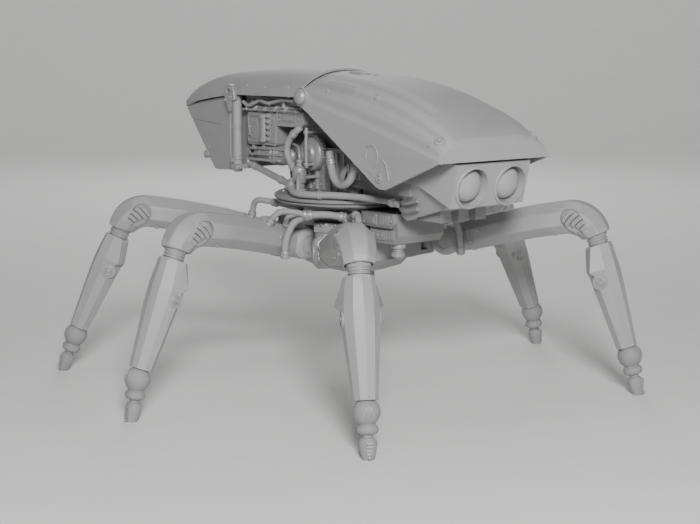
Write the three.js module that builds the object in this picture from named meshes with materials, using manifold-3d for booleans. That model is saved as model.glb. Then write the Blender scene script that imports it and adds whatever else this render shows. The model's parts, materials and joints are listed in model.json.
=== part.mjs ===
// Hexapod spider robot. Millimetres, +Z up, the robot faces -Y and its left side is +X.
import * as THREE from "three";
import { mergeVertices } from "three/addons/utils/BufferGeometryUtils.js";
import Module from "manifold-3d";

const wasm = await Module();
wasm.setup();

// ---------- driving dimensions ----------
const GAP = 0.3; // clearance between separate pieces
const HIP_Z = 132.8; // height of the six hip axes
const ANKLE_Z = 36.6; // height of the six ankle balls
const COXA = 22; // yaw axis to hip axis
// hip centre and heading of the right-hand legs, and the extra knee bend each one stands with
const LEGS = {
  front: { x: 69.7, y: -58, yaw: 28.9, knee: -6.0, toe: -77 },
  mid: { x: 56.2, y: 7.6, yaw: 84.8, knee: 0, toe: -79 },
  rear: { x: 35.1, y: 86.7, yaw: 122.4, knee: 2.9, toe: -69 },
};
const REAR_LEFT_SWING = 4; // the rear left leg stands turned a little further back
// leg shape in its own plane: s runs outward from the hip, z up
const SEAM = [110.7, 22.7]; // end of the straight femur beam
const SEAM_TILT = 8; // rise of the beam there, degrees
const ELBOW_R = 24;
const SHIN_TILT = -67.9; // heading of the tibia
const ELBOW_C = [
  SEAM[0] + ELBOW_R * Math.sin(rad(SEAM_TILT)),
  SEAM[1] - ELBOW_R * Math.cos(rad(SEAM_TILT)),
];
const KNEE = [
  ELBOW_C[0] - ELBOW_R * Math.sin(rad(SHIN_TILT)),
  ELBOW_C[1] + ELBOW_R * Math.cos(rad(SHIN_TILT)),
];
const SHIN = 112.4; // knee centre to ankle ball
const BALL_R = 10.7;
const BEAM_H = 14.5; // femur half height
const BEAM_W = 14.8; // femur half width
const KNUCKLE_R = 14;
const TONGUE = 6.7; // half thickness of the coxa tongue
const CHEEK = 12; // half width over the femur cheeks
const TURNTABLE = { r: 71, z0: 167.3, z1: 177 };
const DECK = { z0: 148, z1: 153 };
const BELLY_Z = 106;
const HOOD = { rear: -8, front: 187, wall: 2.6, pivotF: 0, pivotZ: 264 };
const COWL = { front: -8.4, rear: -212, wall: 1.6 };
const EYE = { x: 21.6, z: 195.5, r: 15.6, depth: 9 };
const SHIFT_Y = 3.53; // turret axis to the middle of the robot's length
const FLOOR = 2; // height of the ground in the frame the dimensions above are stated in

function rad(d) {
  return (d * Math.PI) / 180;
}

// ---------- small solid kit ----------
function outward(geo) {
  const g = geo.index ? geo.toNonIndexed() : geo.clone();
  const p = g.getAttribute("position");
  let v = 0;
  const a = new THREE.Vector3(),
    b = new THREE.Vector3(),
    c = new THREE.Vector3();
  for (let i = 0; i < p.count; i += 3) {
    a.fromBufferAttribute(p, i);
    b.fromBufferAttribute(p, i + 1);
    c.fromBufferAttribute(p, i + 2);
    v += a.dot(b.cross(c));
  }
  const out = Float32Array.from(p.array);
  if (v < 0)
    for (let i = 0; i < out.length; i += 9)
      for (let k = 0; k < 3; k++)
        [out[i + 3 + k], out[i + 6 + k]] = [out[i + 6 + k], out[i + 3 + k]];
  return new THREE.BufferGeometry().setAttribute(
    "position",
    new THREE.BufferAttribute(out, 3),
  );
}
function solid(geo) {
  const m = mergeVertices(outward(geo), 1e-4);
  const tri = [];
  const ix = m.index.array;
  for (let i = 0; i < ix.length; i += 3)
    if (ix[i] !== ix[i + 1] && ix[i + 1] !== ix[i + 2] && ix[i] !== ix[i + 2])
      tri.push(ix[i], ix[i + 1], ix[i + 2]);
  return new wasm.Manifold(
    new wasm.Mesh({
      numProp: 3,
      vertProperties: m.attributes.position.array,
      triVerts: new Uint32Array(tri),
    }),
  );
}
function geometry(s) {
  const m = s.getMesh(),
    n = m.numProp,
    v = new Float32Array(m.numVert * 3);
  for (let i = 0; i < m.numVert; i++)
    v.set(m.vertProperties.subarray(i * n, i * n + 3), i * 3);
  return new THREE.BufferGeometry()
    .setAttribute("position", new THREE.BufferAttribute(v, 3))
    .setIndex(new THREE.BufferAttribute(m.triVerts, 1));
}
const join = (...list) => list.reduce((a, b) => a.add(b));
const cut = (a, ...list) => list.reduce((s, b) => s.subtract(b), a);

function box(x0, x1, y0, y1, z0, z1) {
  const g = new THREE.BoxGeometry(x1 - x0, y1 - y0, z1 - z0);
  g.translate((x0 + x1) / 2, (y0 + y1) / 2, (z0 + z1) / 2);
  return solid(g);
}
// cylinder or cone from point p to point q
function rod(p, q, r, r2 = r, seg = 24) {
  const a = new THREE.Vector3(...p),
    b = new THREE.Vector3(...q);
  const g = new THREE.CylinderGeometry(r2, r, a.distanceTo(b), seg);
  const turn = new THREE.Quaternion().setFromUnitVectors(
    new THREE.Vector3(0, 1, 0),
    b.clone().sub(a).normalize(),
  );
  g.applyQuaternion(turn);
  g.translate((a.x + b.x) / 2, (a.y + b.y) / 2, (a.z + b.z) / 2);
  return solid(g);
}
// turned part: profile of [radius, distance] along direction dir from point p
function turned(profile, p, dir, seg = 24) {
  const g = new THREE.LatheGeometry(
    profile.map(([r, d]) => new THREE.Vector2(Math.max(r, 0), d)),
    seg,
  );
  g.applyQuaternion(
    new THREE.Quaternion().setFromUnitVectors(
      new THREE.Vector3(0, 1, 0),
      new THREE.Vector3(...dir).normalize(),
    ),
  );
  g.translate(...p);
  return solid(g);
}
function ball(c, r, w = 12, h = 8) {
  const g = new THREE.SphereGeometry(r, w, h);
  g.translate(...c);
  return solid(g);
}
// closed skin through rings of equal length, with both ends capped
function loft(rings) {
  const n = rings[0].length,
    pos = [];
  const tri = (a, b, c) => pos.push(...a, ...b, ...c);
  for (let i = 0; i + 1 < rings.length; i++)
    for (let j = 0; j < n; j++) {
      const k = (j + 1) % n;
      tri(rings[i][j], rings[i][k], rings[i + 1][k]);
      tri(rings[i][j], rings[i + 1][k], rings[i + 1][j]);
    }
  const cap = (ring, flip) => {
    const nrm = [0, 0, 0];
    for (let j = 0; j < n; j++) {
      const [a, b] = [ring[j], ring[(j + 1) % n]];
      nrm[0] += (a[1] - b[1]) * (a[2] + b[2]);
      nrm[1] += (a[2] - b[2]) * (a[0] + b[0]);
      nrm[2] += (a[0] - b[0]) * (a[1] + b[1]);
    }
    const m = nrm.map(Math.abs);
    const drop = m.indexOf(Math.max(...m));
    const keep = [0, 1, 2].filter((k) => k !== drop);
    const flat = ring.map((p) => new THREE.Vector2(p[keep[0]], p[keep[1]]));
    const cw = THREE.ShapeUtils.isClockWise(flat);
    const order = [...flat.keys()];
    if (cw) order.reverse();
    const faces = THREE.ShapeUtils.triangulateShape(
      order.map((k) => flat[k]),
      [],
    );
    for (const f of faces) {
      let t = f.map((k) => order[k]);
      if (cw) t = [t[0], t[2], t[1]];
      if (flip) t = [t[0], t[2], t[1]];
      tri(...t.map((k) => ring[k]));
    }
  };
  // side quads above run with the ring order, so the first cap faces backwards
  const probe = rings[0];
  cap(probe, true);
  cap(rings[rings.length - 1], false);
  const g = new THREE.BufferGeometry().setAttribute(
    "position",
    new THREE.BufferAttribute(new Float32Array(pos), 3),
  );
  return solid(g);
}
// prism over a polygon of [a, b] points; put() lifts a point and a depth into space
const prism = (poly, d0, d1, put) =>
  loft([poly.map(([a, b]) => put(a, b, d0)), poly.map(([a, b]) => put(a, b, d1))]);
const sideways = (f, z, x) => [x, -f, z]; // polygon drawn in side view, depth across
const level = (x, y, z) => [x, y, z]; // polygon drawn in plan view, depth upward
const mirrored = (geo) => geo.clone().applyMatrix4(new THREE.Matrix4().makeScale(-1, 1, 1));
// smooth value of a table [[key, value], ...] at x
function at(table, x) {
  const n = table.length;
  if (x <= table[0][0]) return table[0][1];
  if (x >= table[n - 1][0]) return table[n - 1][1];
  let i = 0;
  while (table[i + 1][0] < x) i++;
  const [x0, y0] = table[i],
    [x1, y1] = table[i + 1];
  const slope = (k) =>
    k <= 0 || k >= n - 1
      ? (table[Math.min(k + 1, n - 1)][1] - table[Math.max(k - 1, 0)][1]) /
        (table[Math.min(k + 1, n - 1)][0] - table[Math.max(k - 1, 0)][0])
      : (table[k + 1][1] - table[k - 1][1]) / (table[k + 1][0] - table[k - 1][0]);
  const t = (x - x0) / (x1 - x0),
    h = x1 - x0;
  return (
    y0 * (1 + 2 * t) * (1 - t) ** 2 +
    slope(i) * h * t * (1 - t) ** 2 +
    y1 * t * t * (3 - 2 * t) +
    slope(i + 1) * h * t * t * (t - 1)
  );
}
const steps = (a, b, n) => Array.from({ length: n + 1 }, (_, i) => a + ((b - a) * i) / n);

// ---------- materials ----------
const paint = (color, roughness, metalness) =>
  new THREE.MeshStandardMaterial({ color, roughness, metalness });
const MAT = {
  shell: paint(0xb4b5b4, 0.55, 0.0),
  limb: paint(0xadaead, 0.5, 0.0),
  frame: paint(0xa2a3a3, 0.5, 0.3),
  metal: paint(0xa8a9aa, 0.35, 0.8),
  rubber: paint(0x8d8e8e, 0.8, 0.0),
  lens: paint(0xb8b9ba, 0.2, 0.0),
};

const robot = new THREE.Group();
robot.name = "hexapod_spider_robot";
function add(name, shape, material, matrix) {
  const geo = shape.isBufferGeometry ? shape.clone() : geometry(shape);
  if (matrix) geo.applyMatrix4(matrix);
  geo.translate(0, SHIFT_Y, -FLOOR);
  const mesh = new THREE.Mesh(outward(geo), material);
  mesh.name = name;
  robot.add(mesh);
}
const addPair = (name, shape, material) => {
  const geo = shape.isBufferGeometry ? shape : geometry(shape);
  add(name + "_left", geo, material);
  add(name + "_right", mirrored(geo), material);
};

// ---------- one leg, in its own plane ----------
const inPlane = ([s, z], t = 0) => [s, t, z];
const head = (deg) => [Math.cos(rad(deg)), Math.sin(rad(deg))];
// octagonal ring round (s,z), across a heading, with flats hw out sideways and hh up and down
function limbRing([s, z], heading, hw, hh) {
  const [c, d] = head(heading);
  const up = [-d, c];
  const ring = [];
  for (let i = 0; i < 8; i++) {
    const a = ((i + 0.5) * Math.PI) / 4,
      f = 1 / Math.cos(Math.PI / 8);
    const u = Math.cos(a) * f * hw,
      v = Math.sin(a) * f * hh;
    ring.push([s + up[0] * v, u, z + up[1] * v]);
  }
  return ring;
}
function coxaShape() {
  const yaw = [-COXA, 0];
  const body = join(
    rod([yaw[0], 0, -9.2], [yaw[0], 0, 14.9], 10.5, 10.5, 10),
    rod([yaw[0], 0, -12.6], [yaw[0], 0, 18.5], 4, 4, 8),
    rod([0, -TONGUE, 0], [0, TONGUE, 0], 12.4, 12.4, 12),
    prism([[-22, -8.6], [-9, -8.6], [0, -11], [0, 11], [-22, 9]], -TONGUE, TONGUE, (s, z, t) => [s, t, z]),
  );
  return join(body, rod([0, -10, 0], [0, 10, 0], 4.8, 4.8, 8));
}
const BEAM = [
  [10, 1.6, 13.2, 12.6],
  [26, 5.4, 14.0, 14.4],
  [55, 12.6, BEAM_H, BEAM_W],
  [82, 18.2, BEAM_H, BEAM_W],
  [SEAM[0], SEAM[1], BEAM_H, BEAM_W],
];
function limbOuter() {
  const rings = BEAM.map(([s, z, hh, hw], i) =>
    limbRing([s, z], [13.5, 13.5, 12.8, 10.5, SEAM_TILT][i], hw, hh),
  );
  const n = 4;
  for (let i = 1; i <= n; i++) {
    const f = i / n,
      a = SEAM_TILT + (SHIN_TILT - SEAM_TILT) * f;
    const p = [ELBOW_C[0] - ELBOW_R * Math.sin(rad(a)), ELBOW_C[1] + ELBOW_R * Math.cos(rad(a))];
    const bulge = 1 + 0.04 * Math.sin(Math.PI * f);
    rings.push(
      limbRing(p, a, (BEAM_W - 2.2 * f * f) * bulge, (BEAM_H - 1.9 * f * f) * bulge),
    );
  }
  return loft(rings);
}
// outline of the ribbed insert on the elbow's flanks
function petal(grow) {
  const pts = [];
  const c = [SEAM[0] + 9.5, SEAM[1] - 3.4];
  const [u, w] = [head(-42), head(48)];
  for (let i = 0; i < 8; i++) {
    const a = (i * Math.PI * 2) / 8;
    const lx = (12.6 + grow) * Math.cos(a) * (1 - 0.1 * Math.cos(a)),
      lz = (8.6 + grow) * Math.sin(a) * (1 - 0.28 * Math.cos(a));
    pts.push([c[0] + u[0] * lx + w[0] * lz, c[1] + u[1] * lx + w[1] * lz]);
  }
  return pts;
}
const acrossLeg = (s, z, t) => [s, t, z];
const PETAL_C = [SEAM[0] + 9.5, SEAM[1] - 3.4];
function femurShape() {
  const limb = limbOuter();
  const cap = (side) =>
    turned(
      [[0, 0], [12.6, 0], [11.8, 2], [7.4, 4], [0, 4.6]],
      [0, side * (CHEEK - 0.3), 0],
      [0, side, 0],
      10,
    );
  const cheeks = join(
    rod([0, -CHEEK, 0], [0, CHEEK, 0], KNUCKLE_R, KNUCKLE_R, 14),
    cap(1),
    cap(-1),
    limb,
  );
  const slot = join(
    box(-30, 0, -TONGUE - GAP, TONGUE + GAP, -30, 30),
    rod([0, -TONGUE - GAP, 0], [0, TONGUE + GAP, 0], 13.3, 13.3, 12),
    rod([0, -10 - GAP, 0], [0, 10 + GAP, 0], 5.5, 5.5, 8),
  );
  const pocket = ball(inPlane(KNEE), 11.2, 10, 6);
  return cut(
    cheeks,
    slot,
    pocket,
    prism(petal(0), 11, 20, acrossLeg),
    prism(petal(0), -20, -11, acrossLeg),
    rod([PETAL_C[0], -14, PETAL_C[1]], [PETAL_C[0], 14, PETAL_C[1]], 4.4, 4.4, 8),
  );
}
function bellowsShape() {
  const slab = join(
    prism(petal(-GAP), 11 + GAP, 20, acrossLeg),
    prism(petal(-GAP), -20, -11 - GAP, acrossLeg),
  ).intersect(limbOuter());
  return join(
    slab,
    rod([PETAL_C[0], -12.5, PETAL_C[1]], [PETAL_C[0], 12.5, PETAL_C[1]], 4, 4, 8),
  );
}
// tibia sections: distance from the knee, then half widths and offsets of the ten corners
const SHIN_RINGS = [
  { w: 9.5, e: 10.8, a1: 6.2, q1: 9.6, a2: 10.6, q2: 3, aw: 12.2, qw: -5, ai: 7, qi: -10.4 },
  { w: 12, e: 11.8, a1: 6.8, q1: 10.4, a2: 11.4, q2: 3, aw: 12.8, qw: -5.4, ai: 7.4, qi: -11.2 },
  { w: 31, e: 13, a1: 8, q1: 11, a2: 14, q2: 3, aw: 19.3, qw: -10, ai: 8, qi: -15.5 },
  { w: 35, e: 13, a1: 8, q1: 11, a2: 14, q2: 3, aw: 15.6, qw: -7, ai: 8.4, qi: -14 },
  { w: 48, e: 12.7, a1: 8, q1: 10.8, a2: 13.8, q2: 3, aw: 15, qw: -6, ai: 8.4, qi: -13 },
  { w: 104, e: 8.9, a1: 5.6, q1: 7.6, a2: 9, q2: 2, aw: 10.1, qw: -3, ai: 6, qi: -8.4 },
];
// frame of the tibia: x outward across, y lateral, z from the knee to the ankle
const onShin = (q, t, w) => [q, t, w];
function tibiaShape() {
  const rings = SHIN_RINGS.map((r) => {
    const half = [[r.e, 0], [r.q1, r.a1], [r.q2, r.a2], [r.qw, r.aw], [r.qi, r.ai]];
    const back = half.slice(1).reverse().map(([q, t]) => [q, -t]);
    return [...half, ...back].map(([q, t]) => onShin(q, t, r.w));
  });
  const neck = turned(
    [[0, -6], [7.2, -6], [9.6, 0], [8.6, 4], [8.6, 5], [7.8, 5.8], [8.6, 7.2], [8, 10.5], [0, 10.5]],
    [0, 0, 0],
    [0, 0, 1],
    10,
  );
  const cap = (side) =>
    rod(onShin(-4.6, side * 10, 41.6), onShin(-4.6, side * 15.9, 41.6), 6, 5.4, 10);
  return cut(join(loft(rings), neck, cap(1), cap(-1)), ball([0, 0, SHIN], 12, 10, 6));
}
// foot, origin at the ankle ball, z along the toe
function footShape() {
  const body = turned(
    [[0, -10.7], [5.4, -9.2], [9.2, -5.4], [10.7, 0], [9.4, 5.2], [6.4, 9], [8.2, 11.4], [8.2, 14.8],
      [4.4, 17.2], [4.2, 21], [0, 21]],
    [0, 0, 0],
    [0, 0, 1],
    10,
  );
  const toe = loft(
    [[19.6, 5.2, 4.8], [21.4, 6.6, 6.1], [25, 6.8, 6.3], [32, 5.4, 5.1], [41, 3.1, 3.1]].map(
      ([w, a, q]) =>
        Array.from({ length: 8 }, (_, i) => {
          const u = Math.cos((i * Math.PI) / 4),
            v = Math.sin((i * Math.PI) / 4);
          const f = 1 + 0.1 * Math.abs(Math.sin((i * Math.PI) / 2));
          return [u * q * f, v * a * f, w];
        }),
    ),
  );
  return join(body, toe);
}
const coxaGeo = geometry(coxaShape());
const femurGeo = geometry(femurShape());
const bellowsGeo = geometry(bellowsShape());
const tibiaGeo = geometry(tibiaShape());
const footGeo = geometry(footShape());

// turn in the leg plane about the lateral axis, positive lifts
const tilt = (deg) => new THREE.Matrix4().makeRotationY(-rad(deg));
const shift = (s, z) => new THREE.Matrix4().makeTranslation(s, 0, z);
// the tibia and foot frames point their z along a heading
const along = (heading) =>
  new THREE.Matrix4().makeBasis(
    new THREE.Vector3(-Math.sin(rad(heading)), 0, Math.cos(rad(heading))),
    new THREE.Vector3(0, 1, 0),
    new THREE.Vector3(Math.cos(rad(heading)), 0, Math.sin(rad(heading))),
  );
function addLeg(name, leg, side) {
  // tip height fixes how far the whole leg is tilted at the hip
  const shin = head(SHIN_TILT + leg.knee);
  const reach = [KNEE[0] + SHIN * shin[0], KNEE[1] + SHIN * shin[1]];
  const lift =
    Math.asin((ANKLE_Z - HIP_Z) / Math.hypot(...reach)) - Math.atan2(reach[1], reach[0]);
  const deg = (lift * 180) / Math.PI;
  const turn = (p, a) => [p[0] * Math.cos(a) - p[1] * Math.sin(a), p[0] * Math.sin(a) + p[1] * Math.cos(a)];
  const knee = turn(KNEE, lift),
    ankle = turn(reach, lift);
  // heading of the leg on the ground: yaw is measured from straight ahead
  const swing = name === "rear_left" ? REAR_LEFT_SWING : 0;
  const rest = Math.atan2(-Math.cos(rad(leg.yaw)), side * Math.sin(rad(leg.yaw)));
  const heading = rest + rad(swing);
  const axisX = side * leg.x - COXA * Math.cos(rest),
    axisY = leg.y - COXA * Math.sin(rest);
  const place = new THREE.Matrix4()
    .makeTranslation(axisX + COXA * Math.cos(heading), axisY + COXA * Math.sin(heading), HIP_Z)
    .multiply(new THREE.Matrix4().makeRotationZ(heading));
  const put = (...m) => m.reduce((a, b) => a.multiply(b), place.clone());
  const at3 = (p) => new THREE.Vector3(p[0], 0, p[1]).applyMatrix4(place).toArray();
  add(name + "_coxa", coxaGeo, MAT.frame, put());
  add(name + "_femur", femurGeo, MAT.limb, put(tilt(deg)));
  add(name + "_elbow_bellows", bellowsGeo, MAT.rubber, put(tilt(deg)));
  add(
    name + "_tibia",
    tibiaGeo,
    MAT.limb,
    put(shift(...knee), along(SHIN_TILT + leg.knee + deg)),
  );
  const foot = cut(
    solid(footGeo.clone().applyMatrix4(put(shift(...ankle), along(leg.toe)))),
    box(-400, 400, -400, 400, -60, FLOOR),
  );
  add(name + "_foot", foot, MAT.rubber);
  return {
    yaw: at3([-COXA, 0]), hip: at3([0, 0]), knee: at3(knee), ankle: at3(ankle),
    lateral: new THREE.Vector3(-Math.sin(heading), Math.cos(heading), 0).toArray(), lift: deg,
  };
}
const joints = {};
for (const [row, leg] of Object.entries(LEGS))
  for (const [word, side] of [["left", 1], ["right", -1]])
    joints[row + "_" + word] = addLeg(row + "_" + word, leg, side);
const yawAxes = Object.values(joints).map((j) => j.yaw);

// ---------- hub ----------
const HALF_DECK = [
  [0, -52], [52, -52], [67, -46], [71, -36], [62, -25], [46, -3], [47, 14], [40, 25], [29, 62], [29, 80],
  [20, 88], [0, 88],
];
const whole = (half) => [
  ...half,
  ...half.slice(1, -1).reverse().map(([x, y]) => [-x, y]),
];
const outline = whole(HALF_DECK);
const LOWER = whole([
  [0, -50], [36, -50], [58, -46], [65.5, -42], [66, -36], [60, -31], [53, -31], [36, -13], [39, -2],
  [41.6, 10],
  [38, 17], [24, 72],
  [21, 81], [0, 84],
]);
const BOWL = whole([[0, -57], [24, -53], [40, -38], [42, -20], [41.4, -14], [43, 2], [43, 14], [35, 38],
  [19, 54], [0, 58]]);
const bowl = join(
  prism(LOWER, 119, 123.3, level),
  loft([
    BOWL.map(([x, y]) => [x, y, 120]),
    BOWL.map(([x, y]) => [x * 0.88, y * 0.86, 112]),
    BOWL.map(([x, y]) => [x * 0.52, y * 0.55, BELLY_Z]),
  ]),
);
const CORE = whole([
  [0, -56], [30, -54], [44, -48], [45, -34], [38, -25], [30, -12], [26, -4], [26, 24], [20, 58],
  [12, 80], [0, 84],
]);
const core = prism(CORE, 119.2, DECK.z0 - GAP, level);
const yawBores = (r, z0, z1) => yawAxes.map(([x, y]) => rod([x, y, z0], [x, y, z1], r, r, 12));
const hub = cut(
  join(bowl, core),
  ...yawBores(11.2, 123.3, 160),
  ...yawBores(4.4, 119.7, 125),
);
add("hub_frame", hub, MAT.frame);
add(
  "hub_deck",
  cut(prism(outline, DECK.z0, DECK.z1, level), ...yawBores(4.3, 140, 151.9)),
  MAT.frame,
);
add(
  "slew_ring",
  turned(
    [[0, DECK.z1 + GAP], [46, DECK.z1 + GAP], [46, 157], [43, 158.5], [43, 162], [46, 163.5], [46, 167],
      [0, 167]],
    [0, 0, 0],
    [0, 0, 1],
    24,
  ),
  MAT.metal,
);
add(
  "front_block",
  join(
    prism([[52, 153.3], [92, 153.3], [97, 158], [95, 166], [52, 166]], -31, 31, sideways),
    prism([[59, 139], [92, 139], [97, 146], [97, 158], [59, 158]], -27, 27, sideways),
  ),
  MAT.frame,
);
add(
  "service_port",
  turned([[0, 126], [4.4, 126], [5.4, 127.2], [5.4, 131], [4.6, 132], [4.6, 134.5], [6.6, 135.4],
    [6.6, 138.7], [0, 138.7]],
    [-17, -86, 0], [0, 0, 1], 10),
  MAT.metal,
);

// ---------- turret ----------
const T = TURNTABLE;
add(
  "turntable",
  turned(
    [[0, T.z0], [T.r - 5, T.z0], [T.r, T.z0 + 3.5], [T.r, T.z1 - 3], [T.r - 2, T.z1], [0, T.z1]],
    [0, 0, 0],
    [0, 0, 1],
    28,
  ),
  MAT.frame,
);
const SPINE = { x: 12, z0: 238, z1: 256, rear: -200 };
const spineRoom = box(-SPINE.x - GAP, SPINE.x + GAP, -400, 400, SPINE.z0 - GAP, 300);
const SPINE_NOSE = [[38, 238], [96, 238], [150, 219], [150, 231], [112, 250], [38, 250]];
const noseRoom = prism(
  [[30, 237.6], [95.9, 237.6], [150.5, 218.5], [150.5, 231.6], [112, 250.5], [30, 250.5]],
  -SPINE.x - GAP, SPINE.x + GAP, sideways,
);
add(
  "column",
  join(
    prism(whole([[0, -40], [22, -40], [30, -30], [30, 38], [22, 46], [0, 46]]), T.z1 + GAP, 218, level),
    prism(whole([[0, -34], [18, -34], [24, -26], [24, 34], [18, 42], [0, 42]]), 217, SPINE.z0 - GAP, level),
  ),
  MAT.frame,
);
add(
  "spine",
  join(
    prism(SPINE_NOSE, -SPINE.x, SPINE.x, sideways),
    box(-SPINE.x, SPINE.x, -40, -SPINE.rear, SPINE.z0, SPINE.z1),
    box(-8, 8, -7, 7, SPINE.z1 - 1, 266),
    rod([-38, 0, HOOD.pivotZ], [38, 0, HOOD.pivotZ], 5.4, 5.4, 14),
  ),
  MAT.frame,
);
add(
  "equipment_box",
  cut(
    join(
      prism([[-98, 219], [-96, 217], [-54, 217], [-52, 219], [-52, 247], [-98, 247]], -47, 47, sideways),
      prism([[-98, 205], [-56, 205], [-47, 212], [-47, 218], [-98, 218]], -27, 27, sideways),
    ),
    spineRoom,
  ),
  MAT.frame,
);
add(
  "control_box",
  cut(
    prism([[-51.6, 237], [-50, 235.6], [-14, 235.6], [-10, 238.6], [-10, 250], [-51.6, 250]],
      -47, 47, sideways),
    spineRoom,
    box(-24.4, 24.4, -50, 42.4, 200, SPINE.z0),
  ),
  MAT.frame,
);
addPair(
  "motor_pod",
  turned([[0, 0], [4.5, 0], [5.5, 1], [8.4, 30], [8.8, 42], [8.8, 52], [7.6, 58], [4.4, 62], [0, 63.4]],
    [37, 97, 207.6], [0, -1, 0.01], 12),
  MAT.metal,
);
addPair(
  "gear_drum",
  turned([[0, 0], [15.6, 0], [15.6, 6.5], [14.2, 8.4], [9, 9.6], [8.4, 12], [0, 12]], [30.3, 13, 212],
    [1, 0, 0], 18),
  MAT.metal,
);
addPair(
  "damper",
  turned([[0, 0], [6.2, 0], [6.2, 3], [4.2, 4], [4.2, 8], [6, 9], [6.4, 14], [6.4, 20], [5.6, 22.6],
    [3, 24], [2.4, 30], [0, 30]],
    [49, 14, T.z1 + GAP], [0, 0, 1], 10),
  MAT.metal,
);
addPair(
  "strut",
  join(
    rod([43.5, 102, 198.4], [42.5, 37, 182], 3.1, 3.1, 8),
    rod([42.5, 37, T.z1 + GAP], [42.5, 37, 184.6], 4.6, 4.2, 8),
    rod([41, 104, 199], [46.4, 104, 199], 4.8, 4.8, 8),
  ),
  MAT.metal,
);
add(
  "neck_frame",
  cut(
    join(
      prism([[41, 186], [112, 180], [118, 186], [118, 222], [41, 234]], -33, 33, sideways),
      prism([[46, 178], [96, 178], [96, 190], [46, 190]], -24, 24, sideways),
    ),
    noseRoom,
  ),
  MAT.frame,
);

// power pack inside the tail
add(
  "power_pack",
  cut(
    prism([[-104, 194], [-150, 193.5], [-200, 240], [-200, 246], [-150, 252], [-99, 252], [-99, 240],
      [-104, 236]],
      -41, 41, sideways),
    spineRoom,
  ),
  MAT.rubber,
);

// ---------- cowls over the back ----------
const COWL_TOP = [
  [-213, 270.5], [-205, 275.4], [-190, 279.6], [-165, 282.8], [-140, 284.8], [-110, 286.6], [-60, 288.6],
  [-8, 288.3],
];
const COWL_W = [[-212, 44.5], [-200, 48], [-170, 52], [-130, 56], [-90, 58], [-8, 58.5]];
const COWL_LOW = [[-212, 248], [-160, 252], [-105, 254.5], [-8, 254.5]];
// trimmed lower edge
const COWL_EDGE = [[-215, 248], [-212, 248], [-180, 255], [-146, 259.4], [-109, 263], [0, 263.5]];
const DOME = [[0, 0], [0.24, 0.03], [0.46, 0.14], [0.66, 0.32], [0.84, 0.58], [0.95, 0.83], [1, 1]];
function cowlRing(f, inset, low) {
  const top = at(COWL_TOP, f) - inset,
    w = at(COWL_W, f) - inset,
    z0 = at(COWL_LOW, f) + 6;
  const half = DOME.map(([u, d]) => [u * w, top - d * (top - z0)]);
  half.push([w, low === undefined ? at(COWL_LOW, f) : low]);
  return [...half, ...half.slice(1).reverse().map(([x, z]) => [-x, z])].map(([x, z]) => [x, -f, z]);
}
const cowlOuter = loft([
  ...[-211.2, -209.4, -205, -197, -186].map((f, i) => {
    const k = [0.8, 0.9, 0.965, 0.99, 1][i];
    const ring = cowlRing(f, 0);
    const mid = at(COWL_LOW, f) + 4;
    return ring.map(([x, y, z]) => [x * (0.93 + 0.07 * k), y, z <= mid - 4 + 0.01 ? z : mid + (z - mid) * k]);
  }),
  ...steps(-170, COWL.front, 6).map((f) => cowlRing(f, 0)),
]);
const cowlInner = loft([
  ...steps(-206, COWL.front + 5, 7).map((f) => {
    const back = f < -190 ? 0.86 : 1;
    const ring = cowlRing(f, COWL.wall + (f < -190 ? 3.5 : 0), 230);
    return ring.map(([x, y, z]) => [x * (back < 1 ? 0.98 : 1), y, z]);
  }),
]);
const belowEdge = prism([...COWL_EDGE, [0, 230], [-215, 230]], -70, 70, sideways);
const cowl = cut(cowlOuter, cowlInner, belowEdge);
// the joint between the two cowls crosses the back above the posts
const jointLine = (gap) =>
  [[-90, 112], [-46, 124], [0, 117], [46, 124], [90, 112]].map(([x, y]) => [x, y + gap]);
const ahead = prism([...jointLine(-0.2), [90, -40], [-90, -40]], 200, 300, level);
const behind = prism([...jointLine(0.2), [90, 260], [-90, 260]], 200, 300, level);
add("mid_cowl", cowl.intersect(ahead), MAT.shell);
add("tail_cowl", cowl.intersect(behind), MAT.shell);

// side fairings of the tail, each with its hanging post
const POST = { f: -109, x: 51.6, z0: 190, z1: 262 };
const FAIRING = [
  [-110.5, 262], [-146, 258.6], [-180, 254.2], [-208, 247.4], [-151.5, 190.2], [-146, 189.6], [-110.5, 191.4],
];
const flank = (f) => 54 + ((f + 104) * 9) / 108;
addPair(
  "tail_fairing",
  join(
    loft([
      FAIRING.map(([f, z]) => [flank(f), -f, z]),
      FAIRING.map(([f, z]) => [flank(f) - 2.4, -f, z]),
    ]),
    rod([POST.x, -POST.f, POST.z0], [POST.x, -POST.f, POST.z1], 4.4, 4.4, 16),
  ),
  MAT.shell,
);

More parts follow.
